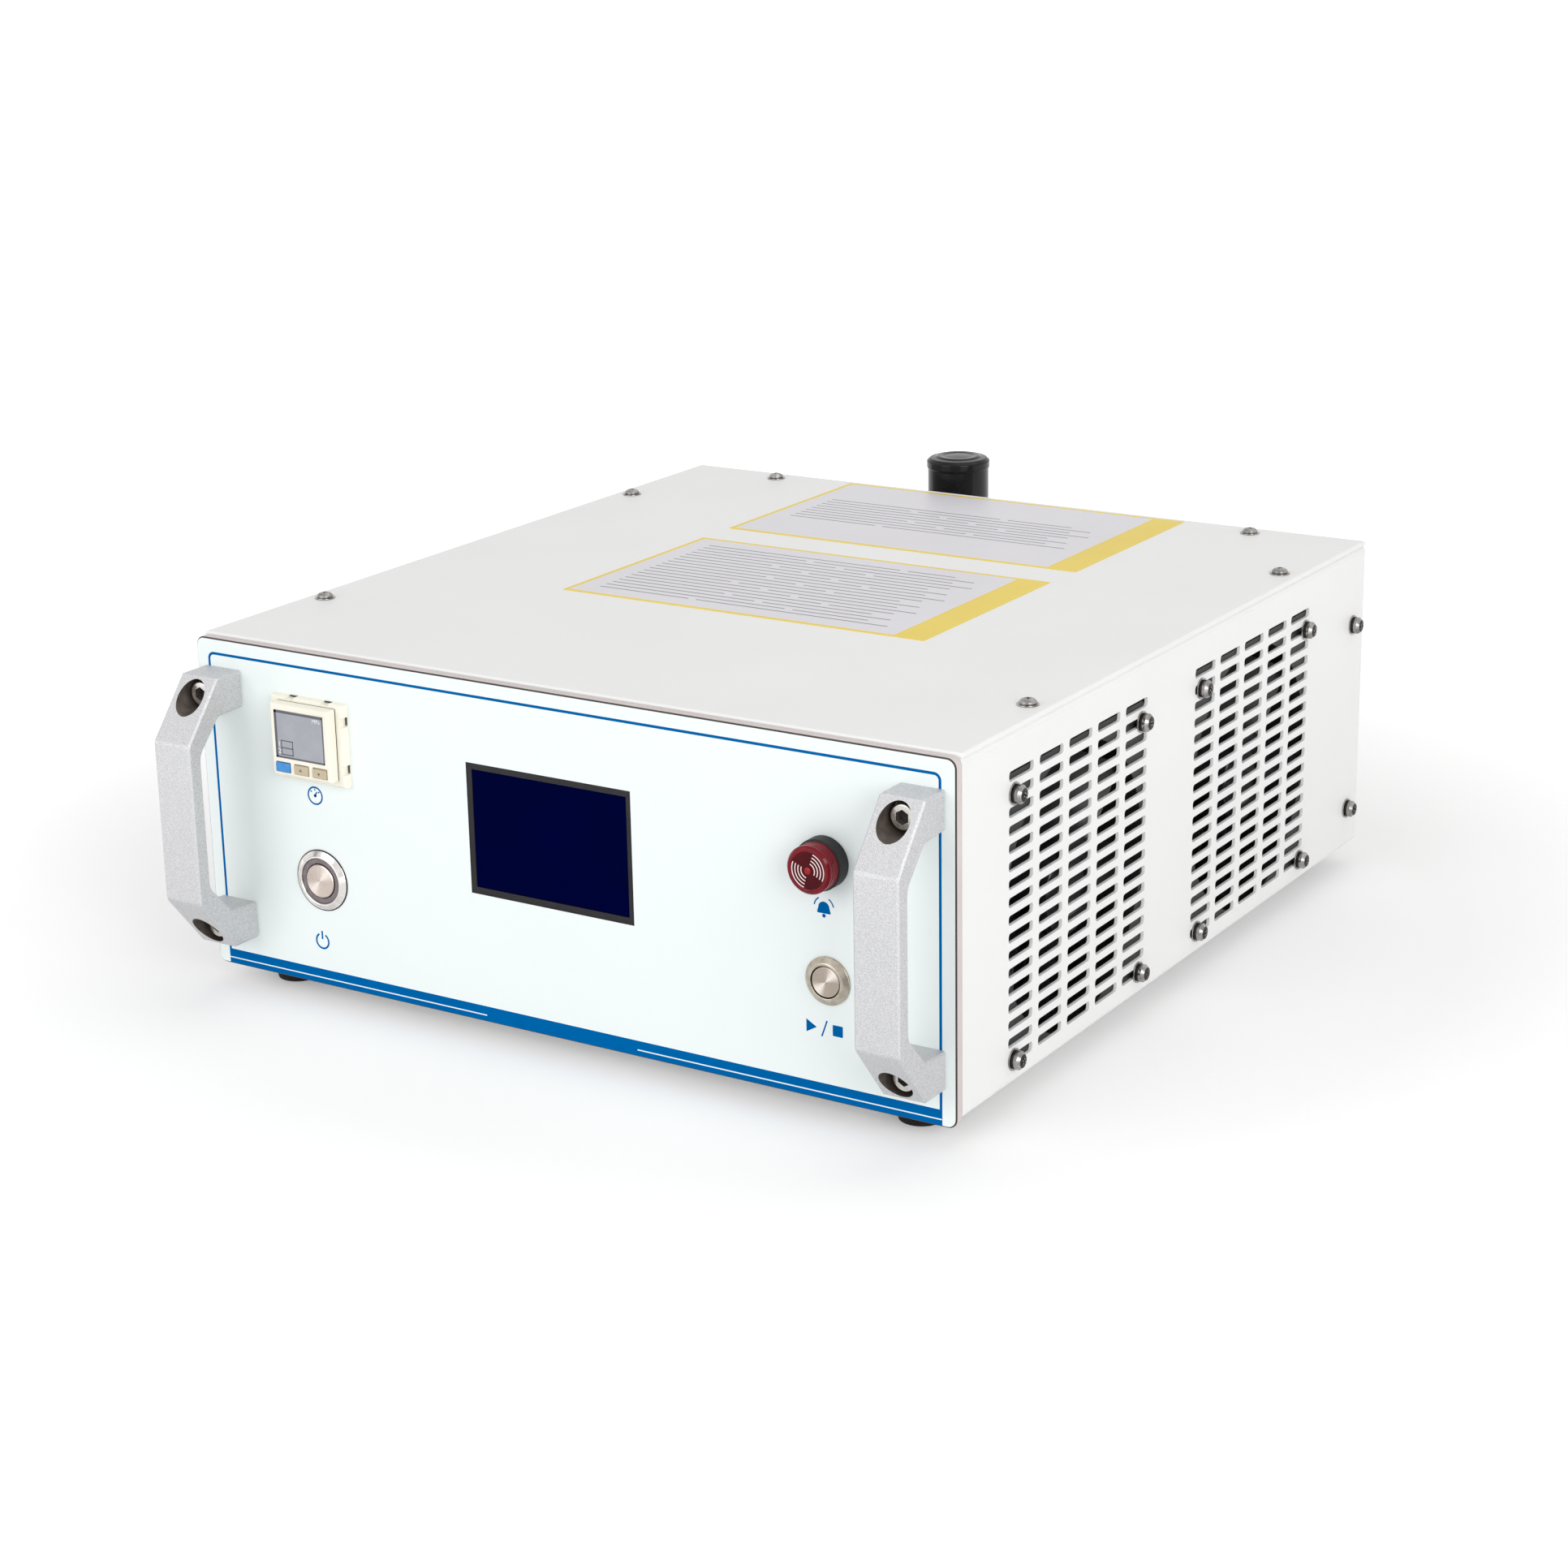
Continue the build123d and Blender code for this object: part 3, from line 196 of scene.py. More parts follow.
def board_finish(name):
    # Green lacquer over copper tracks.
    tree = finish(name, None, (0.25, 0.4), Coat_Weight=0.4).node_tree
    place = tree.nodes.new("ShaderNodeTexCoord")
    tracks = tree.nodes.new("ShaderNodeTexBrick")
    tracks.inputs["Scale"].default_value = 90
    tracks.inputs["Color1"].default_value = colour("0E4A2C")
    tracks.inputs["Color2"].default_value = colour("135C38")
    tracks.inputs["Mortar"].default_value = colour("2E8A54")
    tracks.inputs["Mortar Size"].default_value = 0.03
    tree.links.new(place.outputs["Object"], tracks.inputs["Vector"])
    tree.links.new(tracks.outputs["Color"], tree.nodes["Principled BSDF"].inputs["Base Color"])


# Sheet, castings and turned metal
finish("white_enamel", ("F6F6F5", "F4F4F3"), (0.36, 0.48), 0.08, 0.0016, 0.00005)
finish("plate_edge", ("DBD0CE", "D3C8C6"), (0.35, 0.5), 0.03, 0.0008)
finish("handle_metal", ("DCDCDE", "B9B9BB"), (0.4, 0.58), 0.02, 0.00036, 0.00014, speckled=True, Metallic=0.5)
finish("cast_body", ("C7C9CB", "BDBFC2"), (0.4, 0.6), 0.02, 0.001, 0.00008)
finish("zinc", ("B9BEC4", "A7ABAE"), (0.25, 0.45), 0.006, Metallic=1.0)
finish("fins", ("B9BBBD", "ACAEB0"), (0.3, 0.45), 0.01, Metallic=1.0)
finish("core_steel", ("6E6C69", "5C5A57"), (0.4, 0.6), 0.01, Metallic=0.9)
finish("copper", ("C07A4A", "A86238"), (0.25, 0.4), 0.004, Metallic=1.0)
finish("brass", ("D9C48A", "CBB273"), (0.18, 0.32), 0.005, Metallic=1.0)
finish("screw_steel", ("ABA9A6", "868482"), (0.16, 0.28), 0.003, Metallic=1.0)
finish("socket_steel", ("D2CEC9", "B5B1AC"), (0.16, 0.28), 0.003, Metallic=0.9)
finish("polished_steel", ("EDE8E5", "DCD6D2"), (0.06, 0.12), 0.003, Metallic=1.0)
finish("bezel_metal", ("C2B9AB", "A79E90"), (0.16, 0.26), 0.004, Metallic=1.0)
# Painted shade for the walls and seats of the handle counterbores.
finish("bore_painted_shade", ("7A7069", "655C56"), (0.4, 0.6), 0.004, 0.0006, 0.00004, Metallic=0.6)
# Painted shade for the socket and cross recesses of screws, and for the spring washers.
finish("recess_painted_shade", ("3C3937", "2F2C2B"), (0.35, 0.5), 0.002, Metallic=0.9)

# Plastic, rubber and glass
finish("rubber", ("1A1A1B", "232324"), (0.65, 0.85), 0.01, 0.0005, 0.00004, Specular_IOR_Level=0.25)
finish("black_plastic", ("1C1C1D", "232324"), (0.42, 0.56), 0.02, 0.0004, 0.00003, Specular_IOR_Level=0.3)
finish("black_gloss", ("0F0E10", "141315"), (0.12, 0.2), 0.01, 0.0009, 0.00001, Specular_IOR_Level=0.22)
finish("fan_plastic", ("2C2D2F", "252628"), (0.28, 0.4), 0.01, 0.0005)
finish("cream_plastic", ("FBF7EA", "F8F3E3"), (0.38, 0.5), 0.02, 0.0005)
finish("well_shade", ("4B4236", "41392E"), (0.45, 0.6), 0.004, 0.0005)
finish("key_blue", ("4594DA", "3B89D0"), (0.4, 0.55), 0.003, 0.0004)
finish("key_tan", ("CBBCA0", "C2B396"), (0.4, 0.55), 0.003, 0.0004)
finish("fitting", ("2A5FA8", "24569B"), (0.35, 0.5), 0.004, 0.0004)
finish("ring_dark", ("7A7072", "685E60"), (0.16, 0.24), 0.003, Coat_Weight=0.5)
finish("screen_frame", ("222124", "28272A"), (0.3, 0.42), 0.01, 0.0005, 0.00001, Specular_IOR_Level=0.2)
finish("screen_glass", ("000434", "010530"), (0.1, 0.16), 0.03, 0.002, 0.000001, Specular_IOR_Level=0.0)
finish("lcd", ("A3A5AE", "9A9CA6"), (0.12, 0.2), 0.01, 0.001, 0.000002, Coat_Weight=0.5)
finish(
    "lens_red", ("A00424", "88021C"), (0.1, 0.16), 0.004, 0.0005, 0.000004,
    Transmission_Weight=0.4, IOR=1.4, Specular_IOR_Level=0.25,
)
finish("lens_shade", ("540610", "46040C"), (0.2, 0.3), 0.004, 0.0005, 0.000004, Specular_IOR_Level=0.12)
finish("dot_red", ("C01020", "8A0010"), (0.15, 0.25), 0.002, Specular_IOR_Level=0.3)
finish(
    "bowl", ("F4F4EC", "EEEEE6"), (0.06, 0.12), 0.01, 0.001, 0.000003,
    Transmission_Weight=0.9, IOR=1.58,
)
board_finish("board")

# Film, labels and print
finish("overlay", ("F3FAF9", "F1F9F8"), (0.3, 0.38), 0.12, 0.0005, 0.000008)
# Painted shade for the fine line round the film.
finish("film_line_painted_shade", ("4A4341", "3E3836"), (0.5, 0.65), 0.01)
finish("blue_ink", ("0066AC", "0062A6"), (0.4, 0.5), 0.03, 0.0005, 0.000006, Specular_IOR_Level=0.0)
finish("white_ink", ("EEF6F7", "EAF3F4"), (0.3, 0.4), 0.02, 0.0005, 0.000006)
finish("label_paper", ("E3E1E6", "E0DEE3"), (0.28, 0.4), 0.05, 0.0008, 0.000008)
finish("label_yellow", ("F2D40A", "EECE06"), (0.28, 0.4), 0.05, 0.0008, 0.000008)
finish("label_grey", ("716F78", "66646D"), (0.35, 0.45), 0.02, 0.0006, 0.000004)
finish("lcd_ink", ("5C5D63", "55565C"), (0.15, 0.22), 0.01, 0.0008, 0.000002)
finish("arc_ink", ("FBE3E3", "F6DADA"), (0.35, 0.5), 0.003, 0.0004, 0.000008)

for node, slot in slots.items():
    solid = nodes[node]
    if solid.material_slots:
        for entry in solid.material_slots:
            entry.material = finishes[slot]
    else:
        solid.data.materials.append(finishes[slot])


# Shape makers


def soften(shape, width, segments=2, limit=28.0):
    # Rounds every edge that turns by more than the limit in degrees. The width is in millimetres.
    sharp = [
        edge
        for edge in shape.edges
        if len(edge.link_faces) == 2 and edge.calc_face_angle(0) > math.radians(limit)
    ]
    bmesh.ops.bevel(
        shape, geom=sharp, offset=width * mm, offset_type="OFFSET", affect="EDGES",
        segments=segments, profile=0.5, material=-1, clamp_overlap=True,
    )
    return shape


def copied(node, width=0.3, segments=2, limit=28.0):
    # A merged copy of a CAD solid with its edges rounded.
    shape = bmesh.new()
    shape.from_mesh(nodes[node].data)
    bmesh.ops.remove_doubles(shape, verts=shape.verts, dist=0.002 * mm)
    bmesh.ops.dissolve_limit(
        shape, angle_limit=math.radians(0.5), verts=shape.verts, edges=shape.edges,
        use_dissolve_boundaries=False,
    )
    return soften(shape, width, segments, limit)


def moved(shape, x=0.0, y=0.0, z=0.0):
    # Shifts a shape by millimetres.
    bmesh.ops.translate(shape, vec=(x * mm, y * mm, z * mm), verts=shape.verts)
    return shape


def twisted(shape, degrees):
    # Turns a shape about Z.
    turn = Matrix.Rotation(math.radians(degrees), 3, "Z")
    bmesh.ops.rotate(shape, cent=(0, 0, 0), matrix=turn, verts=shape.verts)
    return shape


def turned(profile, segments=96, closed=False, angle=360.0):
    # A shape turned about Z from points of height and radius in millimetres.
    shape = bmesh.new()
    points = [shape.verts.new((radius * mm, 0, height * mm)) for height, radius in profile]
    pairs = list(zip(points, points[1:]))
    if closed:
        pairs.append((points[-1], points[0]))
    for pair in pairs:
        shape.edges.new(pair)
    bmesh.ops.spin(
        shape, geom=shape.verts[:] + shape.edges[:], cent=(0, 0, 0), axis=(0, 0, 1),
        angle=math.radians(angle), steps=segments, use_merge=angle == 360.0,
    )
    bmesh.ops.remove_doubles(shape, verts=shape.verts, dist=0.0005 * mm)
    bmesh.ops.recalc_face_normals(shape, faces=shape.faces)
    return shape


def placed(shape, spot, facing=up, twist=0.0):
    # Turns the shape's Z to the way it faces and moves its origin to the spot.
    turn = up.rotation_difference(facing).to_matrix().to_4x4()
    if facing == front:
        turn = Matrix.Rotation(math.radians(90), 4, "X")
    if facing == back:
        turn = Matrix.Rotation(math.radians(180), 4, "Z") @ Matrix.Rotation(math.radians(90), 4, "X")
    move = Matrix.Translation(spot) @ turn @ Matrix.Rotation(math.radians(twist), 4, "Z")
    bmesh.ops.transform(shape, matrix=move, verts=shape.verts)
    return shape


def thickened(shape, thickness):
    # Gives flat faces a thickness along +Z.
    lifted = bmesh.ops.extrude_face_region(shape, geom=shape.faces[:])["geom"]
    bmesh.ops.translate(
        shape, vec=(0, 0, thickness * mm), verts=[v for v in lifted if isinstance(v, bmesh.types.BMVert)]
    )
    bmesh.ops.recalc_face_normals(shape, faces=shape.faces)
    return shape


def flat_plate(width, height, corner=0.0, steps=6):
    # A rectangle on the XY plane with rounded corners, all sizes in millimetres.
    shape = bmesh.new()
    bmesh.ops.create_grid(shape, x_segments=1, y_segments=1, size=0.5)
    bmesh.ops.scale(shape, vec=(width * mm, height * mm, 1), verts=shape.verts)
    if corner:
        bmesh.ops.bevel(
            shape, geom=shape.verts[:], offset=corner * mm, offset_type="OFFSET", affect="VERTICES",
            segments=steps, profile=0.5, material=-1,
        )
    return shape


def card(width, height, thickness, corner=0.0, centre=(0, 0), steps=6):
    # A plate lying on the XY plane round the given centre.
    return thickened(moved(flat_plate(width, height, corner, steps), *centre), thickness)


def arc(radius, width, start, sweep, thickness, steps=24):
    # A flat bent bar on the XY plane. Angles in degrees, from +X towards +Y.
    shape = bmesh.new()
    inner = shape.verts.new(((radius - width / 2) * mm, 0, 0))
    outer = shape.verts.new(((radius + width / 2) * mm, 0, 0))
    shape.edges.new((inner, outer))
    twisted(shape, start)
    bmesh.ops.spin(
        shape, geom=shape.verts[:] + shape.edges[:], cent=(0, 0, 0), axis=(0, 0, 1),
        angle=math.radians(sweep), steps=steps, use_merge=sweep == 360,
    )
    bmesh.ops.remove_doubles(shape, verts=shape.verts, dist=0.0005 * mm)
    return thickened(shape, thickness)


def disc(radius, thickness, segments=48):
    # A round plate, or with few segments a nut or a triangle.
    shape = bmesh.new()
    bmesh.ops.create_circle(shape, cap_ends=True, segments=segments, radius=radius * mm)
    return thickened(shape, thickness)


def block(size, centre, narrowing=1.0):
    # A box in millimetres whose lower end may be narrower.
    shape = bmesh.new()
    bmesh.ops.create_cube(shape, size=1)
    bmesh.ops.scale(shape, vec=Vector(size) * mm, verts=shape.verts)
    lower = [v for v in shape.verts if v.co.z < 0]
    bmesh.ops.scale(shape, vec=(narrowing, narrowing, 1), verts=lower)
    return moved(shape, *centre)


def lettered(words, height, centre, thickness):
    # Flat print in plain letters.
    text = bpy.data.curves.new("print", "FONT")
    text.body = words
    text.size = height * mm
    text.align_x = "CENTER"
    text.align_y = "CENTER"
    holder = bpy.data.objects.new("print", text)
    mesh = bpy.data.meshes.new_from_object(holder)
    shape = bmesh.new()
    shape.from_mesh(mesh)
    bpy.data.objects.remove(holder)
    bpy.data.curves.remove(text)
    bpy.data.meshes.remove(mesh)
    bmesh.ops.remove_doubles(shape, verts=shape.verts, dist=0.001 * mm)
    return thickened(moved(shape, *centre), thickness)


def joined(*shapes):
    # One shape from several, each kept as its own closed shell.
    whole = bmesh.new()
    for shape in shapes:
        mesh = bpy.data.meshes.new("part")
        shape.to_mesh(mesh)
        shape.free()
        whole.from_mesh(mesh)
        bpy.data.meshes.remove(mesh)
    return whole


def repeated(shape, spots, facing=up, twists=None):
    # Copies of a shape at several places.
    mesh = bpy.data.meshes.new("pattern")
    shape.to_mesh(mesh)
    shape.free()
    copies = []
    for index, spot in enumerate(spots):
        copy = bmesh.new()
        copy.from_mesh(mesh)
        copies.append(placed(copy, spot, facing, twists[index] if twists else 0.0))
    bpy.data.meshes.remove(mesh)
    return joined(*copies)


def cut(shape, tool):
    # Takes the tool's volume out of the shape.
    solids = []
    for name, source in (("solid", shape), ("tool", tool)):
        mesh = bpy.data.meshes.new(name)
        source.to_mesh(mesh)
        source.free()
        solid = bpy.data.objects.new(name, mesh)
        bpy.context.scene.collection.objects.link(solid)
        solids.append(solid)
    carve = solids[0].modifiers.new("carve", "BOOLEAN")
    carve.object = solids[1]
    carve.solver = "EXACT"
    view = bpy.context.evaluated_depsgraph_get()
    mesh = bpy.data.meshes.new_from_object(solids[0].evaluated_get(view))
    result = bmesh.new()
    result.from_mesh(mesh)
    bpy.data.meshes.remove(mesh)
    for solid in solids:
        mesh = solid.data
        bpy.data.objects.remove(solid)
        bpy.data.meshes.remove(mesh)
    return result


def painted(shape, chosen):
    # Gives the chosen faces the second finish of the piece.
    for face in shape.faces:
        if chosen(face):
            face.material_index = 1
    return shape


def piece(name, shape, surfaces, node=None, body="case", crease=32.0):
    # Makes the finished object: smooth where it turns gently, riding on its body.
    # It takes the place of its CAD node, where it has one.
    mesh = bpy.data.meshes.new(name)
    shape.to_mesh(mesh)
    shape.free()
    for surface in surfaces if isinstance(surfaces, tuple) else (surfaces,):
        mesh.materials.append(finishes[surface])
    mesh.shade_smooth()
    mesh.set_sharp_from_angle(angle=math.radians(crease))
    made = bpy.data.objects.new(name, mesh)
    bpy.context.scene.collection.objects.link(made)
    level = made.modifiers.new("even_normals", "WEIGHTED_NORMAL")
    level.keep_sharp = True
    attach(made, body)
    if node:
        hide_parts(node)


def refined(name, node, width, segments=3, limit=40, body="case"):
    # The CAD solid again with rounded edges, in its own finish.
    piece(name, copied(node, width, segments, limit), slots[node], node, body)


# Side sheets with their slot grilles

slot_length = 19.0
slot_height = 3.8
slot_corner = 1.3
slot_pitch_y = 23.8
slot_pitch_z = 7.0
slot_rounding = 0.3
screw_hole = 2.3
grille_middle_z = 76.3
fan_grilles = [(front_face / mm + along, 5, 17) for along in (97.6, 255.7)]
intake_grille = [(20.0, 4, 8)]
sheet = 1.5


def slotted_sheet(node, grilles, screw_spots, outward):
    # The sheet lies flat while it is cut: its X, Y and Z become Y, Z and outward.
    low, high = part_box(node)
    outer_x = high.x if outward > 0 else low.x
    mid_sheet = -sheet / 2 * mm
    spots = []
    for middle_y, columns, rows in grilles:
        for column in range(columns):
            for row in range(rows):
                along = middle_y + (column - (columns - 1) / 2) * slot_pitch_y
                height = grille_middle_z + (row - (rows - 1) / 2) * slot_pitch_z
                spots.append((along * mm, height * mm, mid_sheet))
    slot_tool = card(slot_length, slot_height, 2 * sheet, slot_corner, (0, 0), 4)
    hole_tool = disc(screw_hole, 2 * sheet, 16)
    size = ((high.y - low.y) / mm, (high.z - low.z) / mm, sheet)
    centre = ((low.y + high.y) / 2 / mm, (low.z + high.z) / 2 / mm, sheet / 2)
    plate = cut(block(size, centre), repeated(slot_tool, spots))
    plate = cut(plate, repeated(hole_tool, [(y, z, mid_sheet) for y, z in screw_spots]))

    def on_outer_rim(edge):
        outer = all(v.co.z > sheet * mm * 0.9 and low.y + mm < v.co.x < high.y - mm for v in edge.verts)
        return outer and len(edge.link_faces) == 2 and edge.calc_face_angle(0) > 1.2

    bmesh.ops.bevel(
        plate, geom=[edge for edge in plate.edges if on_outer_rim(edge)], offset=slot_rounding * mm,
        offset_type="OFFSET", affect="EDGES", segments=2, profile=0.5, material=-1, clamp_overlap=True,
    )
    stand = Matrix(((0, 0, outward, 0), (1, 0, 0, 0), (0, 1, 0, 0), (0, 0, 0, 1)))
    shift = Matrix.Translation((outer_x - outward * sheet * mm, 0, 0))
    bmesh.ops.transform(plate, matrix=shift @ stand, verts=plate.verts)
    bmesh.ops.recalc_face_normals(plate, faces=plate.faces)
    piece(f"{node}_sheet", plate, "white_enamel", node, crease=25)


fan_middle_z = 72.7 * mm
fan_reach = 52.5 * mm
fan_middles = [middle("fan_frame_front").y, middle("fan_frame_rear").y]
fan_screws = [
    (y + a * fan_reach, fan_middle_z + b * fan_reach) for y in fan_middles for a in (-1, 1) for b in (-1, 1)
]
side_screws = [(front_face + 362.0 * mm, z * mm) for z in (29.0, 115.0)]
slotted_sheet("right_side_panel", fan_grilles, fan_screws + side_screws, 1)
slotted_sheet("left_side_panel", intake_grille, side_screws, -1)

for node in ("top_cover", "side_flanges"):
    refined(f"{node}_sheet", node, 0.2)


# Front plate and printed film

plate_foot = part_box("front_plate")[0].z / mm
film_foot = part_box("front_overlay")[0].z / mm
ink = 0.05
line_reach_x = 172.2
line_top = 144.3
line_width = 1.1
line_corner = 3.0
band_top = 14.8
rule_height = 11.0
rule_width = 0.5
rule_length = 135.7

# The film ends just short of the plate. The plate's front faces and the film's edges are in painted shade,
# which shows as a fine dark line round the front.
plate = painted(copied("front_plate", 0.3, 3, 40), lambda face: face.normal.y < -0.3)
piece("front_plate_body", plate, ("plate_edge", "film_line_painted_shade"), "front_plate")
film = painted(copied("front_overlay", 0.05, 1, 40), lambda face: abs(face.normal.y) < 0.3)
piece("front_film", film, ("overlay", "film_line_painted_shade"), "front_overlay")


def printed(name, shape, surface, spot=(0, 0)):
    # Lays a flat shape drawn in front view on the film, with its middle at x and z in millimetres.
    placed(shape, Vector((spot[0] * mm, front_face, spot[1] * mm)), front)
    piece(name, shape, surface)


def border_line():
    # The upper half of a rounded frame, down to the top of the foot band.
    shape = flat_plate(2 * line_reach_x, 2 * (line_top - plate_foot), line_corner, 8)
    inner = shape.faces[:]
    bmesh.ops.inset_region(
        shape, faces=inner, thickness=line_width * mm, use_even_offset=True, use_boundary=True
    )
    bmesh.ops.delete(shape, geom=inner, context="FACES")
    bmesh.ops.bisect_plane(
        shape, geom=shape.verts[:] + shape.edges[:] + shape.faces[:],
        plane_co=(0, (band_top - plate_foot) * mm, 0), plane_no=(0, -1, 0), clear_outer=True,
    )
    return thickened(shape, ink)


foot_band = card(2 * line_reach_x, band_top - film_foot, ink, 0, (0, (band_top + film_foot) / 2))
foot_rules = joined(*[card(rule_length, rule_width, ink, 0, (x, rule_height)) for x in (-104.6, 104.2)])
printed("border_line", border_line(), "blue_ink", (0, plate_foot))
printed("foot_band", foot_band, "blue_ink")
printed("foot_rules", moved(foot_rules, z=ink), "white_ink")


def power_sign():
    return joined(arc(3.2, 0.8, 120, 300, ink), card(0.8, 3.6, ink, 0, (0, 2.6)))


def gauge_sign():
    dial = arc(3.6, 0.7, 0, 360, ink, 40)
    ticks = [twisted(card(0.5, 0.9, ink, 0, (0, 2.6)), turn) for turn in (-50, 0, 50)]
    needle = twisted(card(0.6, 2.4, ink, 0, (0, 0.8)), -30)
    return joined(dial, needle, disc(0.7, ink, 20), *ticks)


def bell_sign():
    bell = bmesh.new()
    bmesh.ops.create_circle(bell, cap_ends=True, segments=32, radius=2.4 * mm)
    lower = [v for v in bell.verts if v.co.y < 0]
    bmesh.ops.translate(bell, vec=(0, -1.2 * mm, 0), verts=lower)
    for corner in lower:
        corner.co.x *= 1.25
        corner.co.y = max(corner.co.y, -2.2 * mm)
    clapper = moved(disc(0.75, ink, 20), y=-3.1)
    waves = [arc(4.2, 0.5, start, 50, ink, 12) for start in (10, 120)]
    return joined(thickened(bell, ink), clapper, *waves)


def start_stop_sign():
    start = moved(twisted(disc(3.0, ink, 3), -90), x=-6.4)
    slash = twisted(card(0.6, 7.0, ink), -20)
    return joined(start, slash, card(4.4, 4.4, ink, 0.3, (5.8, 0)))


printed("sign_pressure", gauge_sign(), "blue_ink", (-119.6, 90.3))
printed("sign_power", power_sign(), "blue_ink", (-120.6, 27.3))
printed("sign_alarm", bell_sign(), "blue_ink", (122.4, 84.8))
printed("sign_start_stop", start_stop_sign(), "blue_ink", (121.9, 36.9))


# Labels on the cover: pale field in a yellow border, with a wider band at the right end

label_thickness = 0.15
field_thickness = 0.04
row_thickness = 0.02
row_pitch = 4.7
row_height = 0.8
row_margin = 9
row_gap = 4
label_border = 2.3
label_band = 15.0
labels = {"near": (-88.0, 90.0, -63.0, 46.0, 19), "far": (-88.0, 91.0, 67.0, 176.0, 9)}

for name, (low_x, high_x, low_y, high_y, rows) in labels.items():
    width, length = high_x - low_x, high_y - low_y
    spot = Vector(((low_x + high_x) / 2 * mm, (low_y + high_y) / 2 * mm, cover_top))
    ground = soften(card(width, length, label_thickness, 1.0), 0.04, 1, 60)
    piece(f"label_{name}_ground", placed(ground, spot), "label_yellow")
    field_width = width - label_border - label_band
    off_centre = (label_border - label_band) / 2
    field = card(field_width, length - 2 * label_border, field_thickness, 0.6, (off_centre, 0))
    piece(f"label_{name}_field", placed(moved(field, z=label_thickness), spot), "label_paper")
    bars = []
    reach = field_width / 2 - row_margin
    for row in range(rows):
        height = (row - (rows - 1) / 2) * row_pitch
        gap = 9 * (row * 5 % 7) - 26
        ragged_end = reach - 4 * (row * 3 % 5)
        for start, end in ((-reach, gap), (gap + row_gap, ragged_end)):
            centre = (off_centre + (start + end) / 2, height)
            bars.append(card(end - start, row_height, row_thickness, 0, centre))
    ruled = moved(joined(*bars), z=label_thickness + field_thickness)
    piece(f"label_{name}_rules", placed(ruled, spot), "label_grey")


# Power button

power_spot = on_front("power_button_ring")
# The power cap's spun steel carries painted sheen streaks.
spun_finish_with_painted_sheen("spun_power_painted_sheen", power_spot, "CDBFB6", "F0E5DD")
power_bezel = soften(turned([
    (-28, 0), (-28, 10.9), (-0.02, 10.9), (-0.02, 12.75), (0.5, 12.75), (2.0, 10.5), (2.0, 9.9), (1.4, 9.6),
    (-0.6, 9.6), (-0.6, 7.36), (-11, 7.36), (-11, 0),
]), 0.22, 3)
piece("power_bezel", placed(power_bezel, power_spot, front), "polished_steel", "power_button_body")
power_ring = soften(turned([(-0.55, 7.5), (1.3, 7.5), (1.3, 9.5), (-0.55, 9.5)], closed=True), 0.12, 2)
piece("power_light_ring", placed(power_ring, power_spot, front), "ring_dark", "power_button_ring")
power_cap = soften(turned([(-7, 0), (-7, 7.1), (1.6, 7.1), (1.95, 6.75), (1.95, 0)]), 0.12, 3)
piece("power_cap_face", placed(power_cap, power_spot, front), "spun_power_painted_sheen", "power_button_cap", "power_cap")
power_gasket = turned([(-0.01, 11.0), (-0.01, 13.1), (0.45, 13.1), (0.45, 11.0)], closed=True)
piece("power_gasket", placed(soften(power_gasket, 0.15, 2), power_spot, front), "rubber")


# Start and stop button

start_spot = on_front("start_button_cap")
# The start cap's spun steel carries painted sheen streaks.
spun_finish_with_painted_sheen("spun_start_painted_sheen", start_spot, "A89C90", "EBE2DA")
start_bezel = soften(turned([
    (-22, 0), (-22, 7.9), (-0.02, 7.9), (-0.02, 9.6), (0.7, 9.6), (2.4, 7.4),
    (2.4, 6.36), (-8, 6.36), (-8, 0),
]), 0.2, 3)
piece("start_bezel", placed(start_bezel, start_spot, front), "bezel_metal", "start_button_body")
start_cap = soften(turned([(-5, 0), (-5, 6.05), (1.9, 6.05), (2.15, 5.8), (2.1, 0)]), 0.12, 3)
piece("start_cap_face", placed(start_cap, start_spot, front), "spun_start_painted_sheen", "start_button_cap", "start_cap")


# Alarm

alarm_spot = on_front("alarm_base")
alarm_base = soften(turned([
    (-24, 0), (-24, 7.9), (-0.02, 7.9), (-0.02, 10), (5.6, 10), (6.0, 9.6), (6.0, 7.4),
    (10, 6.4), (10.2, 6.0), (10.2, 0),
]), 0.3, 3)
piece("alarm_housing", placed(alarm_base, alarm_spot, front), "black_plastic", "alarm_base")

lens_radius = 9.3
lens_face = 12.38
dark_reach = 7.4
rib_heights = (6.6, 8.2, 9.8)
rib_shape = ((0, lens_radius), (0.2, 9.15), (0.8, 9.15), (1.0, lens_radius))
ribs = [(height + rise, radius) for height in rib_heights for rise, radius in rib_shape]
alarm_lens = turned([
    (6.02, lens_radius), *ribs, (11.7, lens_radius), (12.5, 8.5), (12.5, 7.5),
    (lens_face, 7.3), (lens_face, 0), (11.3, 0), (11.3, 8.0), (6.02, 8.0),
])
painted(
    alarm_lens,
    lambda face: face.normal.z > 0.9 and face.calc_center_median().xy.length < dark_reach * mm,
)
soften(alarm_lens, 0.08, 2)
piece("alarm_cap", placed(alarm_lens, alarm_spot, front), ("lens_red", "lens_shade"), "alarm_lens")

arc_sweep = 98
arcs = joined(*[
    arc(radius, 0.42, middle_angle - arc_sweep / 2, arc_sweep, ink, 20)
    for radius in (2.9, 4.2, 5.5, 6.8)
    for middle_angle in (22, 206)
])
piece("alarm_arcs", placed(moved(arcs, z=lens_face), alarm_spot, front), "arc_ink")
dot = soften(turned([(12.36, 0), (12.36, 1.4), (12.7, 1.4), (12.7, 0)], 32), 0.2, 2)
piece("alarm_centre", placed(dot, alarm_spot, front), "dot_red")


# Pressure switch

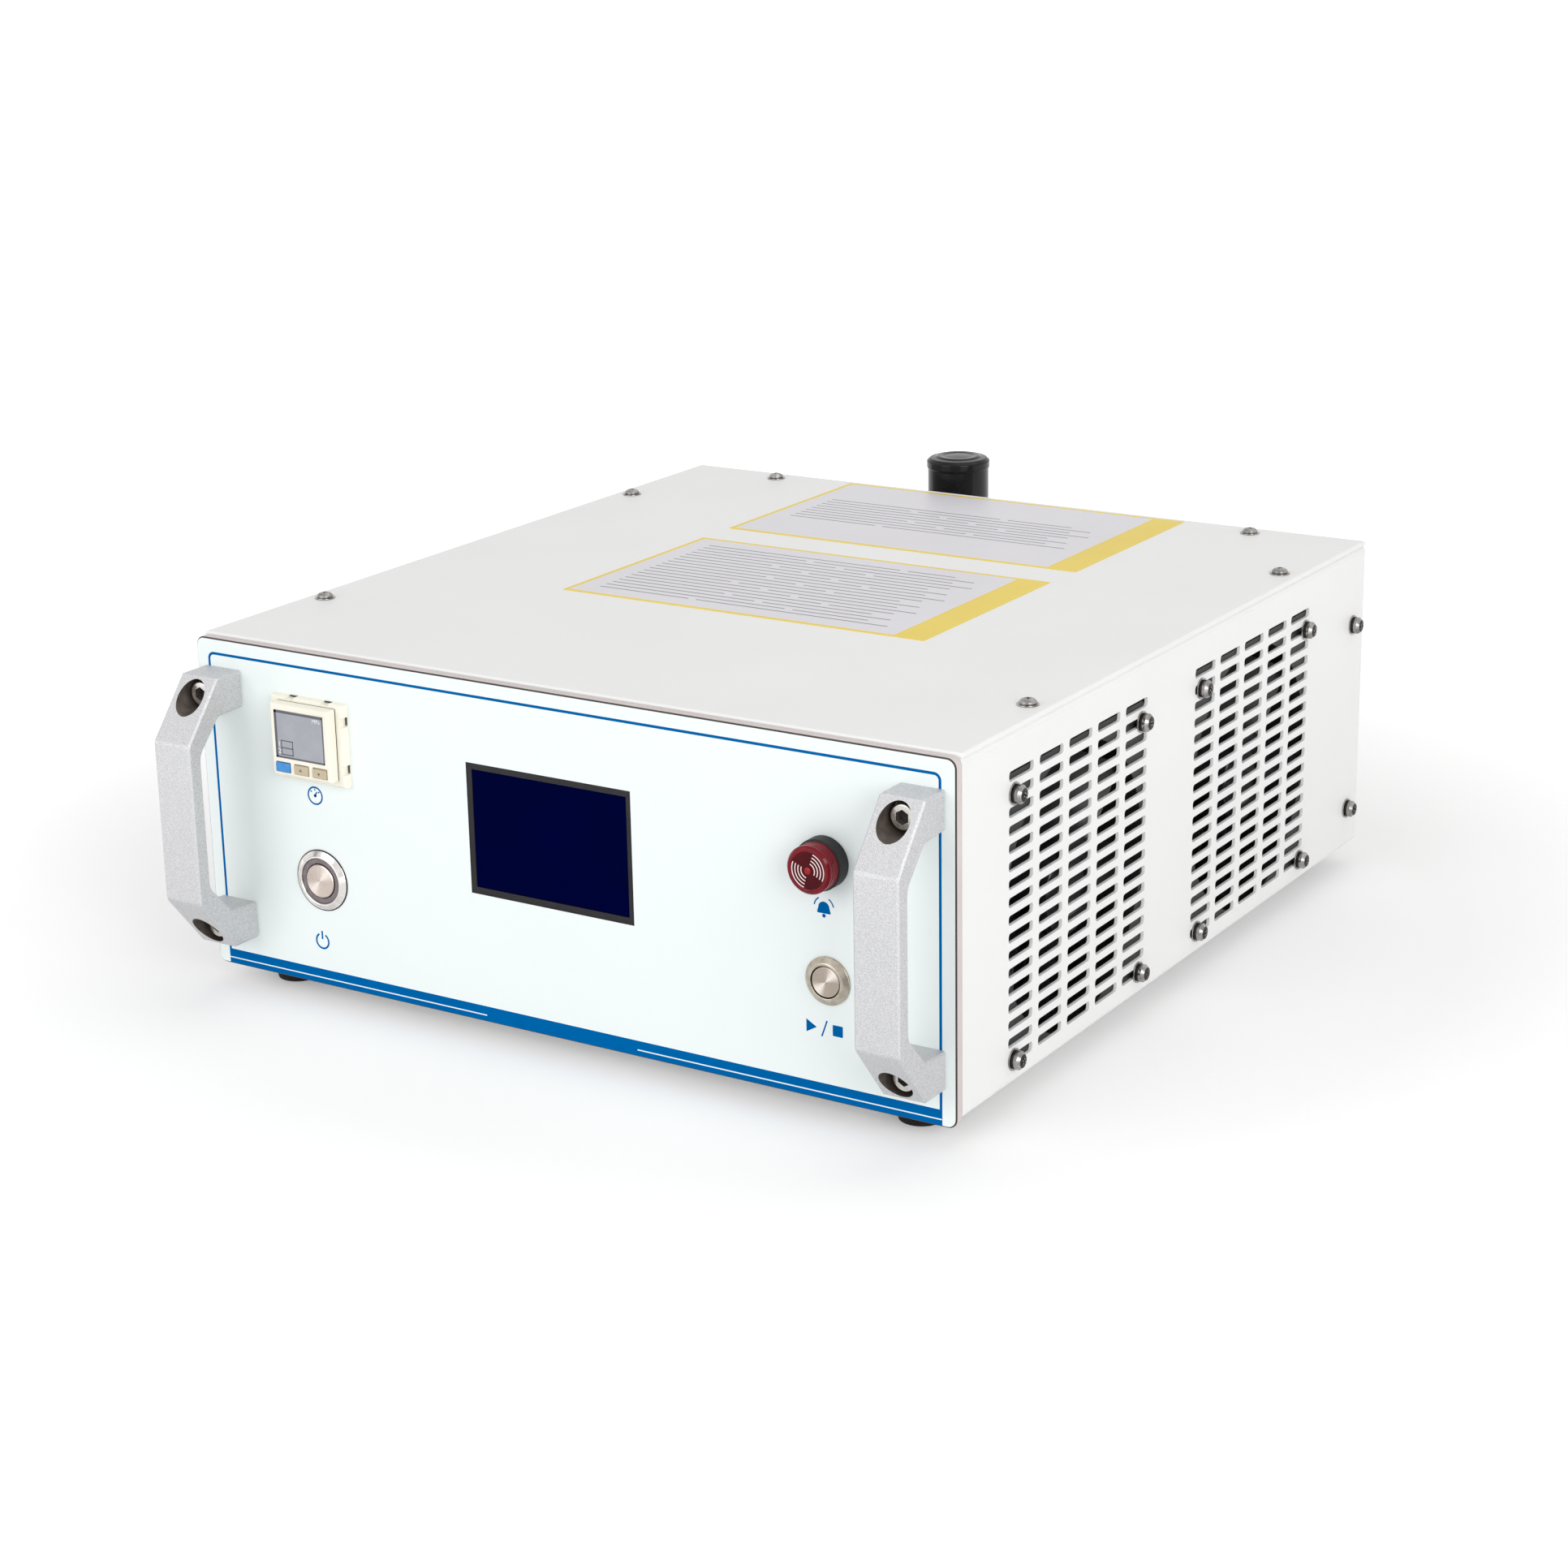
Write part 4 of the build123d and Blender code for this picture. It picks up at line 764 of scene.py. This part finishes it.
key_tones = {"left": "key_blue", "middle": "key_tan", "right": "key_tan"}
clip_low, clip_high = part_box("pressure_switch_frame")
clip_middle = middle("pressure_switch_frame") / mm
housing_middle = middle("pressure_switch_body") / mm
parting = 0.4
well_margin = 0.6 * mm
fit = 0.01 * mm
refined("switch_clip_frame", "pressure_switch_frame", 0.35)

# A fine groove parts the clip frame from the housing.
parting_spot = (housing_middle.x, clip_low.y / mm - parting / 2, housing_middle.z)
groove = cut(block((31, parting, 31), parting_spot), block((29.2, 2 * parting, 29.2), parting_spot))


def in_shade(face):
    # The walls of the key wells, and the groove.
    spot = face.calc_center_median()
    if clip_low.y - parting * mm - fit < spot.y < clip_low.y + fit:
        return True
    for side in key_tones:
        low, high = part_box(f"pressure_key_{side}")
        within_x = low.x - well_margin < spot.x < high.x + well_margin
        within_z = low.z - well_margin < spot.z < high.z + well_margin
        if within_x and within_z and abs(face.normal.y) < 0.5:
            return True
    return False


housing = painted(cut(copied("pressure_switch_body", 0.3, 3, 40), groove), in_shade)
piece("switch_housing", housing, ("cream_plastic", "well_shade"), "pressure_switch_body")
for side in key_tones:
    refined(f"switch_key_{side}", f"pressure_key_{side}", 0.25, body=f"key_{side}")

# The clip frame's notches open on the panel's cut-out. Thin dark cards on the film there are painted shade.
side_notch_x = clip_high.x / mm - 1.0
top_notch_z = clip_high.z / mm - 0.5
notches = [card(0.9, 3.4, 0.2, 0.2, (side_notch_x, clip_middle.z + height), 2) for height in (-10, 10)]
notches += [card(4.2, 0.7, 0.2, 0.2, (clip_middle.x + along, top_notch_z), 2) for along in (-9, 9)]
notch_spot = Vector((0, front_face, 0))
piece("switch_notch_painted_shade", placed(joined(*notches), notch_spot, front), "well_shade")

display_face = middle("pressure_display")
display_face.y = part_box("pressure_display")[0].y
lcd_print = 0.03
display_bars = (
    (25.2, 1.0, 0, 9.4), (25.2, 0.7, 0, -9.55), (1.2, 19.8, -12.0, 0), (0.5, 19.8, 12.35, 0),
    (6.2, 0.45, -6.6, -2.6), (6.2, 0.45, -6.6, -5.6), (6.2, 0.45, -6.6, -8.4),
    (0.45, 6.2, -3.7, -5.5), (0.45, 6.2, -9.5, -5.5),
)
display_print = joined(*[card(width, height, lcd_print, 0, (x, y)) for width, height, x, y in display_bars])
piece("switch_display_print", placed(display_print, display_face, front), "lcd_ink")
display_marks = (("1", 2.9, (-10.6, -4.2)), ("2", 2.9, (-10.6, -7.2)), ("MPa", 2.4, (9.2, 7.6)))
numbers = joined(*[
    lettered(words, height, (*spot, lcd_print), lcd_print) for words, height, spot in display_marks
])
piece("switch_display_numbers", placed(numbers, display_face, front), "white_ink")
for side, turn in (("middle", 0), ("right", 180)):
    key_face = middle(f"pressure_key_{side}")
    key_face.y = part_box(f"pressure_key_{side}")[0].y
    mark = placed(twisted(disc(0.8, lcd_print, 3), turn), key_face, front)
    piece(f"switch_key_{side}_mark", mark, "lcd_ink", body=f"key_{side}")


# Colour display

refined("screen_bezel", "screen_module", 0.3)
refined("screen_window", "screen_glass", 0.2, 2)


# Handles: blasted castings with socket head screws in counterbores, whose walls and seats are painted in
# shade

handle_axes = [(middle(f"handle_{side}").x, z * mm) for side in ("left", "right") for z in (30.7, 130.7)]
bore_reach = 6.65 * mm
seat_reach = 6.0 * mm
bore_end = front_face - 8 * mm
seat_range = (front_face - 9.5 * mm, front_face - 7 * mm)
head_y = front_face - 8.6 * mm


def in_bore_shade(face):
    # The walls of the counterbores and the seats of the screws, which take the painted shade.
    spot = face.calc_center_median()
    reach = min(math.hypot(spot.x - x, spot.z - z) for x, z in handle_axes)
    wall = reach < bore_reach and abs(face.normal.y) < 0.6 and spot.y < bore_end
    seat = reach < seat_reach and seat_range[0] < spot.y < seat_range[1]
    return wall or seat


for side in ("left", "right"):
    casting = painted(copied(f"handle_{side}", 0.16, 2, 24), in_bore_shade)
    piece(f"handle_{side}_casting", casting, ("handle_metal", "bore_painted_shade"), f"handle_{side}", crease=24)

hexagon_radius = 2.9
hexagon_floor = 3.0
socket_head = turned([(-18, 0), (-18, 3.0), (0, 3.0), (0, 5.0), (5.6, 5.0), (6.0, 4.6), (6.0, 0)], 64)
socket_head = cut(soften(socket_head, 0.2, 2), moved(disc(hexagon_radius, 4.0, 6), z=hexagon_floor))


# The hexagon socket's walls and floor take the painted shade.
def in_hexagon(face):
    spot = face.calc_center_median()
    return 2.9 * mm < spot.z < 4.9 * mm and spot.xy.length < 3 * mm


painted(socket_head, in_hexagon)
socket_heads = repeated(socket_head, [Vector((x, head_y, z)) for x, z in handle_axes], front)
piece("handle_socket_screws", socket_heads, ("socket_steel", "recess_painted_shade"), "handle_screws")


# Screws with a cross recess, some with a spring washer and a flat washer

screw_surfaces = ("screw_steel", "recess_painted_shade")
twists = [17, 62, 35, 80, 5, 48, 71, 28, 55, 12]


def cross_head(radius, height, base, shank, length):
    # Pan head on its shank with a cross recess. The head's underside is at the given base height.
    head = turned([
        (-length, 0), (-length, shank), (base, shank), (base, radius), (base + height * 0.45, radius),
        (base + height * 0.86, radius * 0.72), (base + height, radius * 0.3), (base + height, 0),
    ], 48)
    soften(head, 0.12, 2, 40)
    top = base + height
    for size in ((radius * 1.15, radius * 0.27, 3.0), (radius * 0.27, radius * 1.15, 3.0)):
        head = cut(head, block(size, (0, 0, top), 0.35))

    # The cross recess takes the painted shade.
    def in_cross(face):
        spot = face.calc_center_median()
        return base * mm < spot.z < (top - 0.15) * mm and spot.xy.length < radius * 0.55 * mm

    return painted(head, in_cross)


def sprung_screw():
    # The spring washer is a split ring, all its faces in painted shade for the gap between the head and the
    # flat washer.
    flat_washer = soften(turned([(0, 2.2), (0, 4.4), (0.7, 4.4), (0.7, 2.2)], 48, closed=True), 0.12, 2)
    spring = turned([(0.75, 2.2), (0.75, 3.7), (1.75, 3.7), (1.75, 2.2)], 40, closed=True, angle=345)
    bmesh.ops.holes_fill(spring, edges=spring.edges[:], sides=4)
    bmesh.ops.recalc_face_normals(spring, faces=spring.faces)
    painted(spring, lambda face: True)
    return joined(flat_washer, soften(spring, 0.12, 1, 60), cross_head(3.7, 2.85, 1.8, 2.0, 9.0))


right_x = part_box("right_side_panel")[1].x
left_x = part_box("left_side_panel")[0].x
bracket_x = middle("regulator_bracket").x
right_spots = [Vector((right_x, y, z)) for y, z in fan_screws + side_screws]
left_spots = [Vector((left_x, y, z)) for y, z in side_screws]
bracket_spots = [Vector((bracket_x + x * mm, case_back + 2 * mm, 116 * mm)) for x in (-14, 14)]
sprung = joined(
    repeated(sprung_screw(), right_spots, right, twists),
    repeated(sprung_screw(), left_spots, left, twists),
    repeated(sprung_screw(), bracket_spots, back, twists),
)
piece("panel_screw_set", sprung, screw_surfaces, "panel_screws", crease=30)

cover_places = [(x, y) for x in (-169, 169) for y in (71, 300)] + [(x, 363) for x in (-126.5, 126.5)]
cover_spots = [Vector((x * mm, front_face + y * mm, cover_top)) for x, y in cover_places]
collar = soften(turned([(0.01, 1.5), (0.01, 4.3), (0.5, 4.3), (0.5, 1.5)], 48, closed=True), 0.12, 2)
cover_screw = joined(collar, cross_head(3.4, 2.1, 0.52, 1.45, 7.0))
cover_heads = repeated(cover_screw, cover_spots, up, twists)
piece("cover_screw_set", cover_heads, screw_surfaces, "cover_screws", crease=30)


# Feet

foot_spots = [Vector((x * mm, front_face + y * mm, 0)) for x in (-152, 152) for y in (20, 354)]
foot_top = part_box("rubber_feet")[1].z / mm
foot = turned([(0, 2.0), (0, 8.9), (foot_top, 10.0), (foot_top, 0), (2.5, 0), (2.5, 2.0)], 64)
piece("rubber_foot_set", repeated(soften(foot, 0.5, 3), foot_spots), "rubber", "rubber_feet")


# Fan rotors: domed hub and seven twisted blades

hub_height = 20
blade_count = 7
blade_root = 19.0
blade_length = 35.5
blade_thickness = 1.5


def rotor_blade():
    # A grid bent into a blade: Y is the radius, and the pitch falls from root to tip.
    blade = bmesh.new()
    bmesh.ops.create_grid(blade, x_segments=6, y_segments=8, size=0.5)
    for corner in blade.verts:
        span = corner.co.y + 0.5
        radius = (blade_root + span * blade_length) * mm
        pitch = math.radians(52 - 20 * span)
        chord = corner.co.x * (22 + 3 * span) * mm
        bow = (0.25 - corner.co.x**2) * 5 * mm
        across = chord * math.sin(pitch) + bow * math.cos(pitch)
        along = chord * math.cos(pitch) - bow * math.sin(pitch)
        corner.co = Vector((across, radius, along + hub_height / 2 * mm))
    bmesh.ops.solidify(blade, geom=blade.faces[:], thickness=blade_thickness * mm)
    return blade


for name in ("front", "rear"):
    low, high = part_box(f"fan_rotor_{name}")
    hub = soften(turned([
        (0, 4.05), (0, 20), (19.2, 20), (20, 19.2), (20, 12), (19.4, 11.2), (19.4, 0), (18, 0), (18, 4.05),
    ], 64), 0.4, 3)
    turns = [360 * turn / blade_count for turn in range(blade_count)]
    blades = repeated(rotor_blade(), [Vector()] * blade_count, up, turns)
    hub_x = (low.x + high.x - hub_height * mm) / 2
    rotor = placed(joined(hub, blades), Vector((hub_x, (low.y + high.y) / 2, fan_middle_z)), right)
    piece(f"fan_rotor_{name}_blades", rotor, "fan_plastic", f"fan_rotor_{name}", f"rotor_{name}")


# Rear fittings

for node, width in {
    "mains_inlet": 0.4, "rear_panel": 0.3, "regulator_bracket": 0.4, "outlet_elbow": 0.4,
    "regulator_ring_nut": 0.5, "mains_pins": 0.3, "earth_stud": 0.25,
}.items():
    refined(f"{node}_finished", node, width, 2, 32)
refined("fuse_drawer_finished", "fuse_drawer", 0.3, 2, 32, "fuse_drawer")

torch_spot = on_back("torch_socket")
torch = soften(turned([(-14, 0), (-14, 13), (19, 13), (19, 11.05), (1.5, 11.05), (1.5, 0)], 80), 0.3, 3)
flange = soften(card(36, 36, 3, 3.0), 0.4, 3)
piece("torch_socket_finished", placed(joined(torch, flange), torch_spot, back), "bezel_metal", "torch_socket")

remote_spot = on_back("remote_socket")
pin_count = 5
pin_circle = 3.6 * mm
pin = soften(turned([(8.0, 0), (8.0, 0.7), (9.9, 0.7), (9.9, 0)], 20), 0.15, 2)
pin_angles = [2 * math.pi * turn / pin_count for turn in range(pin_count)]
pins = repeated(pin, [Vector((math.cos(turn), math.sin(turn), 0)) * pin_circle for turn in pin_angles])
piece("remote_socket_pins", placed(pins, remote_spot, back), "brass")
remote = soften(turned([(-14, 0), (-14, 7.9), (10, 7.9), (10, 6.3), (8.5, 6.3), (8.5, 0)], 64), 0.2, 2)
remote = joined(remote, soften(disc(10.9, 2.5, 6), 0.3, 2))
piece("remote_socket_finished", placed(remote, remote_spot, back), "bezel_metal", "remote_socket")

gas_spot = on_back("gas_release_ring")
gas = soften(turned([
    (-16, 0), (-16, 6.5), (0, 6.5), (5, 7.6), (12, 7.6), (12, 5.85), (5.5, 5.85),
    (5.5, 4.05), (-8, 4.05), (-8, 0),
], 64), 0.25, 2)
gas = joined(gas, soften(disc(9.7, 5.0, 6), 0.35, 2))
piece("gas_outlet_finished", placed(gas, gas_spot, back), "brass", "gas_outlet")
release = turned([(7, 4.4), (7, 5.5), (13.3, 5.5), (13.3, 6.8), (15, 6.8), (15, 4.4)], 64, closed=True)
release = placed(soften(release, 0.2, 2), gas_spot, back)
piece("gas_release_finished", release, "fitting", "gas_release_ring", "release_ring")


# Filter regulator

axis_foot = middle("regulator_knob")
axis_foot.z = 0
knob_low, knob_high = (corner.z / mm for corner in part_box("regulator_knob"))
knob_radius = 15.35
knob = soften(turned([
    (knob_high - 4.6, 0), (knob_high - 4.6, 4.05), (knob_low, 4.05), (knob_low, knob_radius - 0.5),
    (knob_high - 6.4, knob_radius - 0.5), (knob_high - 5.8, knob_radius), (knob_high - 2.6, knob_radius),
    (knob_high - 1.2, knob_radius - 1.6), (knob_high - 1.0, knob_radius - 4.2),
    (knob_high - 0.3, knob_radius - 5.4), (knob_high - 0.3, knob_radius - 7.4),
    (knob_high - 0.7, knob_radius - 8.4), (knob_high, 0),
], 128), 0.5, 3, 25)
knob = placed(knob, axis_foot)
piece("regulator_knob_finished", knob, "black_gloss", "regulator_knob", "knob", crease=40)
refined("regulator_body_finished", "regulator_body", 0.6, 3, 32)

bowl_low, bowl_high = (corner.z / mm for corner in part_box("filter_bowl"))
bowl = soften(turned([
    (bowl_high, 14.9), (bowl_high, 17.2), (bowl_high - 5, 17.2), (bowl_high - 5, 19.5), (bowl_low + 9, 19.5),
    (bowl_low + 3, 16), (bowl_low, 12.5), (bowl_low, 4.1), (bowl_low + 2.3, 4.1), (bowl_low + 3, 10.6),
    (bowl_low + 5.4, 13.4), (bowl_low + 10, 14.9),
], 96, closed=True), 0.6, 3, 20)
piece("filter_bowl_finished", placed(bowl, axis_foot), "bowl", "filter_bowl", crease=40)
refined("drain_cock_finished", "drain_cock", 0.4, 2, 32, "drain_cock")


# Stage, light and camera


def seen_rays(tree):
    # One for rays that come from the camera, or from it by way of gloss or glass.
    path = tree.nodes.new("ShaderNodeLightPath")
    first = tree.nodes.new("ShaderNodeMath")
    second = tree.nodes.new("ShaderNodeMath")
    first.operation = second.operation = "MAXIMUM"
    tree.links.new(path.outputs["Is Camera Ray"], first.inputs[0])
    tree.links.new(path.outputs["Is Glossy Ray"], first.inputs[1])
    tree.links.new(first.outputs[0], second.inputs[0])
    tree.links.new(path.outputs["Is Transmission Ray"], second.inputs[1])
    return second.outputs[0]


def backdrop(tree, strength):
    plain = tree.nodes.new("ShaderNodeBackground")
    plain.inputs["Color"].default_value = (1, 1, 1, 1)
    plain.inputs["Strength"].default_value = strength
    return plain.outputs[0]


def lamp(name, spot, power, size):
    # A square lamp that looks at the middle of the case.
    light = bpy.data.lights.new(name, "AREA")
    light.energy = power
    light.size = size
    holder = bpy.data.objects.new(name, light)
    holder.location = spot
    holder.rotation_euler = (Vector((0, 0, 0.08)) - Vector(spot)).to_track_quat("-Z", "Y").to_euler()
    bpy.context.scene.collection.objects.link(holder)


floor = bpy.data.objects.new("floor", bpy.data.meshes.new("floor"))
ground = bmesh.new()
bmesh.ops.create_grid(ground, x_segments=1, y_segments=1, size=6)
ground.to_mesh(floor.data)
ground.free()
bpy.context.scene.collection.objects.link(floor)

# The floor keeps the shadow under the case and goes over to plain white away from it.
floor_paint = bpy.data.materials.new("floor_paint")
floor_paint.use_nodes = True
tree = floor_paint.node_tree
paint = tree.nodes["Principled BSDF"]
tree.links.new(two_tones(tree, noise(tree, 0.4), "EDEDED", "F0F0F0"), paint.inputs["Base Color"])
tree.links.new(between(tree, noise(tree, 0.01), 0.75, 0.85), paint.inputs["Roughness"])
paint.inputs["Specular IOR Level"].default_value = 0.1
paint.inputs["Emission Color"].default_value = (1, 1, 1, 1)
glow = tree.nodes.new("ShaderNodeMath")
glow.operation = "MULTIPLY"
ground_place = tree.nodes.new("ShaderNodeTexCoord")
from_case = tree.nodes.new("ShaderNodeVectorMath")
from_case.operation = "LENGTH"
fade = tree.nodes.new("ShaderNodeMapRange")
fade.inputs["From Min"].default_value = 0.28
fade.inputs["From Max"].default_value = 0.9
fade.inputs["To Min"].default_value = 0.2
fade.inputs["To Max"].default_value = 0.9
tree.links.new(ground_place.outputs["Object"], from_case.inputs[0])
tree.links.new(from_case.outputs["Value"], fade.inputs["Value"])
tree.links.new(fade.outputs["Result"], glow.inputs[1])
tree.links.new(seen_rays(tree), glow.inputs[0])
tree.links.new(glow.outputs[0], paint.inputs["Emission Strength"])
floor.data.materials.append(floor_paint)

world = bpy.data.worlds.new("studio")
bpy.context.scene.world = world
world.use_nodes = True
tree = world.node_tree
tree.nodes.clear()
choice = tree.nodes.new("ShaderNodeMixShader")
sky = tree.nodes.new("ShaderNodeOutputWorld")
tree.links.new(seen_rays(tree), choice.inputs["Fac"])
tree.links.new(backdrop(tree, 0.55), choice.inputs[1])
tree.links.new(backdrop(tree, 1.0), choice.inputs[2])
tree.links.new(choice.outputs[0], sky.inputs["Surface"])

lamp("key", (1.9, -1.3, 0.9), 22, 1.2)
lamp("fill", (-0.8, -2.2, 0.9), 14, 1.4)
lamp("top", (0.2, 0.6, 2.0), 5, 1.6)

# The camera looks along the turned axes, with a slight roll.
view_azimuth = math.radians(32.507)
view_elevation = math.radians(17.608)
view_roll = math.radians(-1.069)
view_spot = Vector((0.71056, -1.14267, 0.48706))
away = Vector((
    math.sin(view_azimuth) * math.cos(view_elevation),
    -math.cos(view_azimuth) * math.cos(view_elevation),
    math.sin(view_elevation),
))
across = up.cross(away).normalized()
upward = away.cross(across)
rolled_across = across * math.cos(view_roll) + upward * math.sin(view_roll)
rolled_upward = upward * math.cos(view_roll) - across * math.sin(view_roll)
camera_axes = Matrix((rolled_across, rolled_upward, away)).transposed().to_4x4()
lens = bpy.data.cameras.new("camera")
lens.lens = 73.995
lens.sensor_width = 36
lens.dof.use_dof = False
camera = bpy.data.objects.new("camera", lens)
camera.matrix_world = Matrix.Translation(view_spot) @ camera_axes
bpy.context.scene.collection.objects.link(camera)
bpy.context.scene.camera = camera
bpy.context.scene.view_settings.view_transform = "Standard"
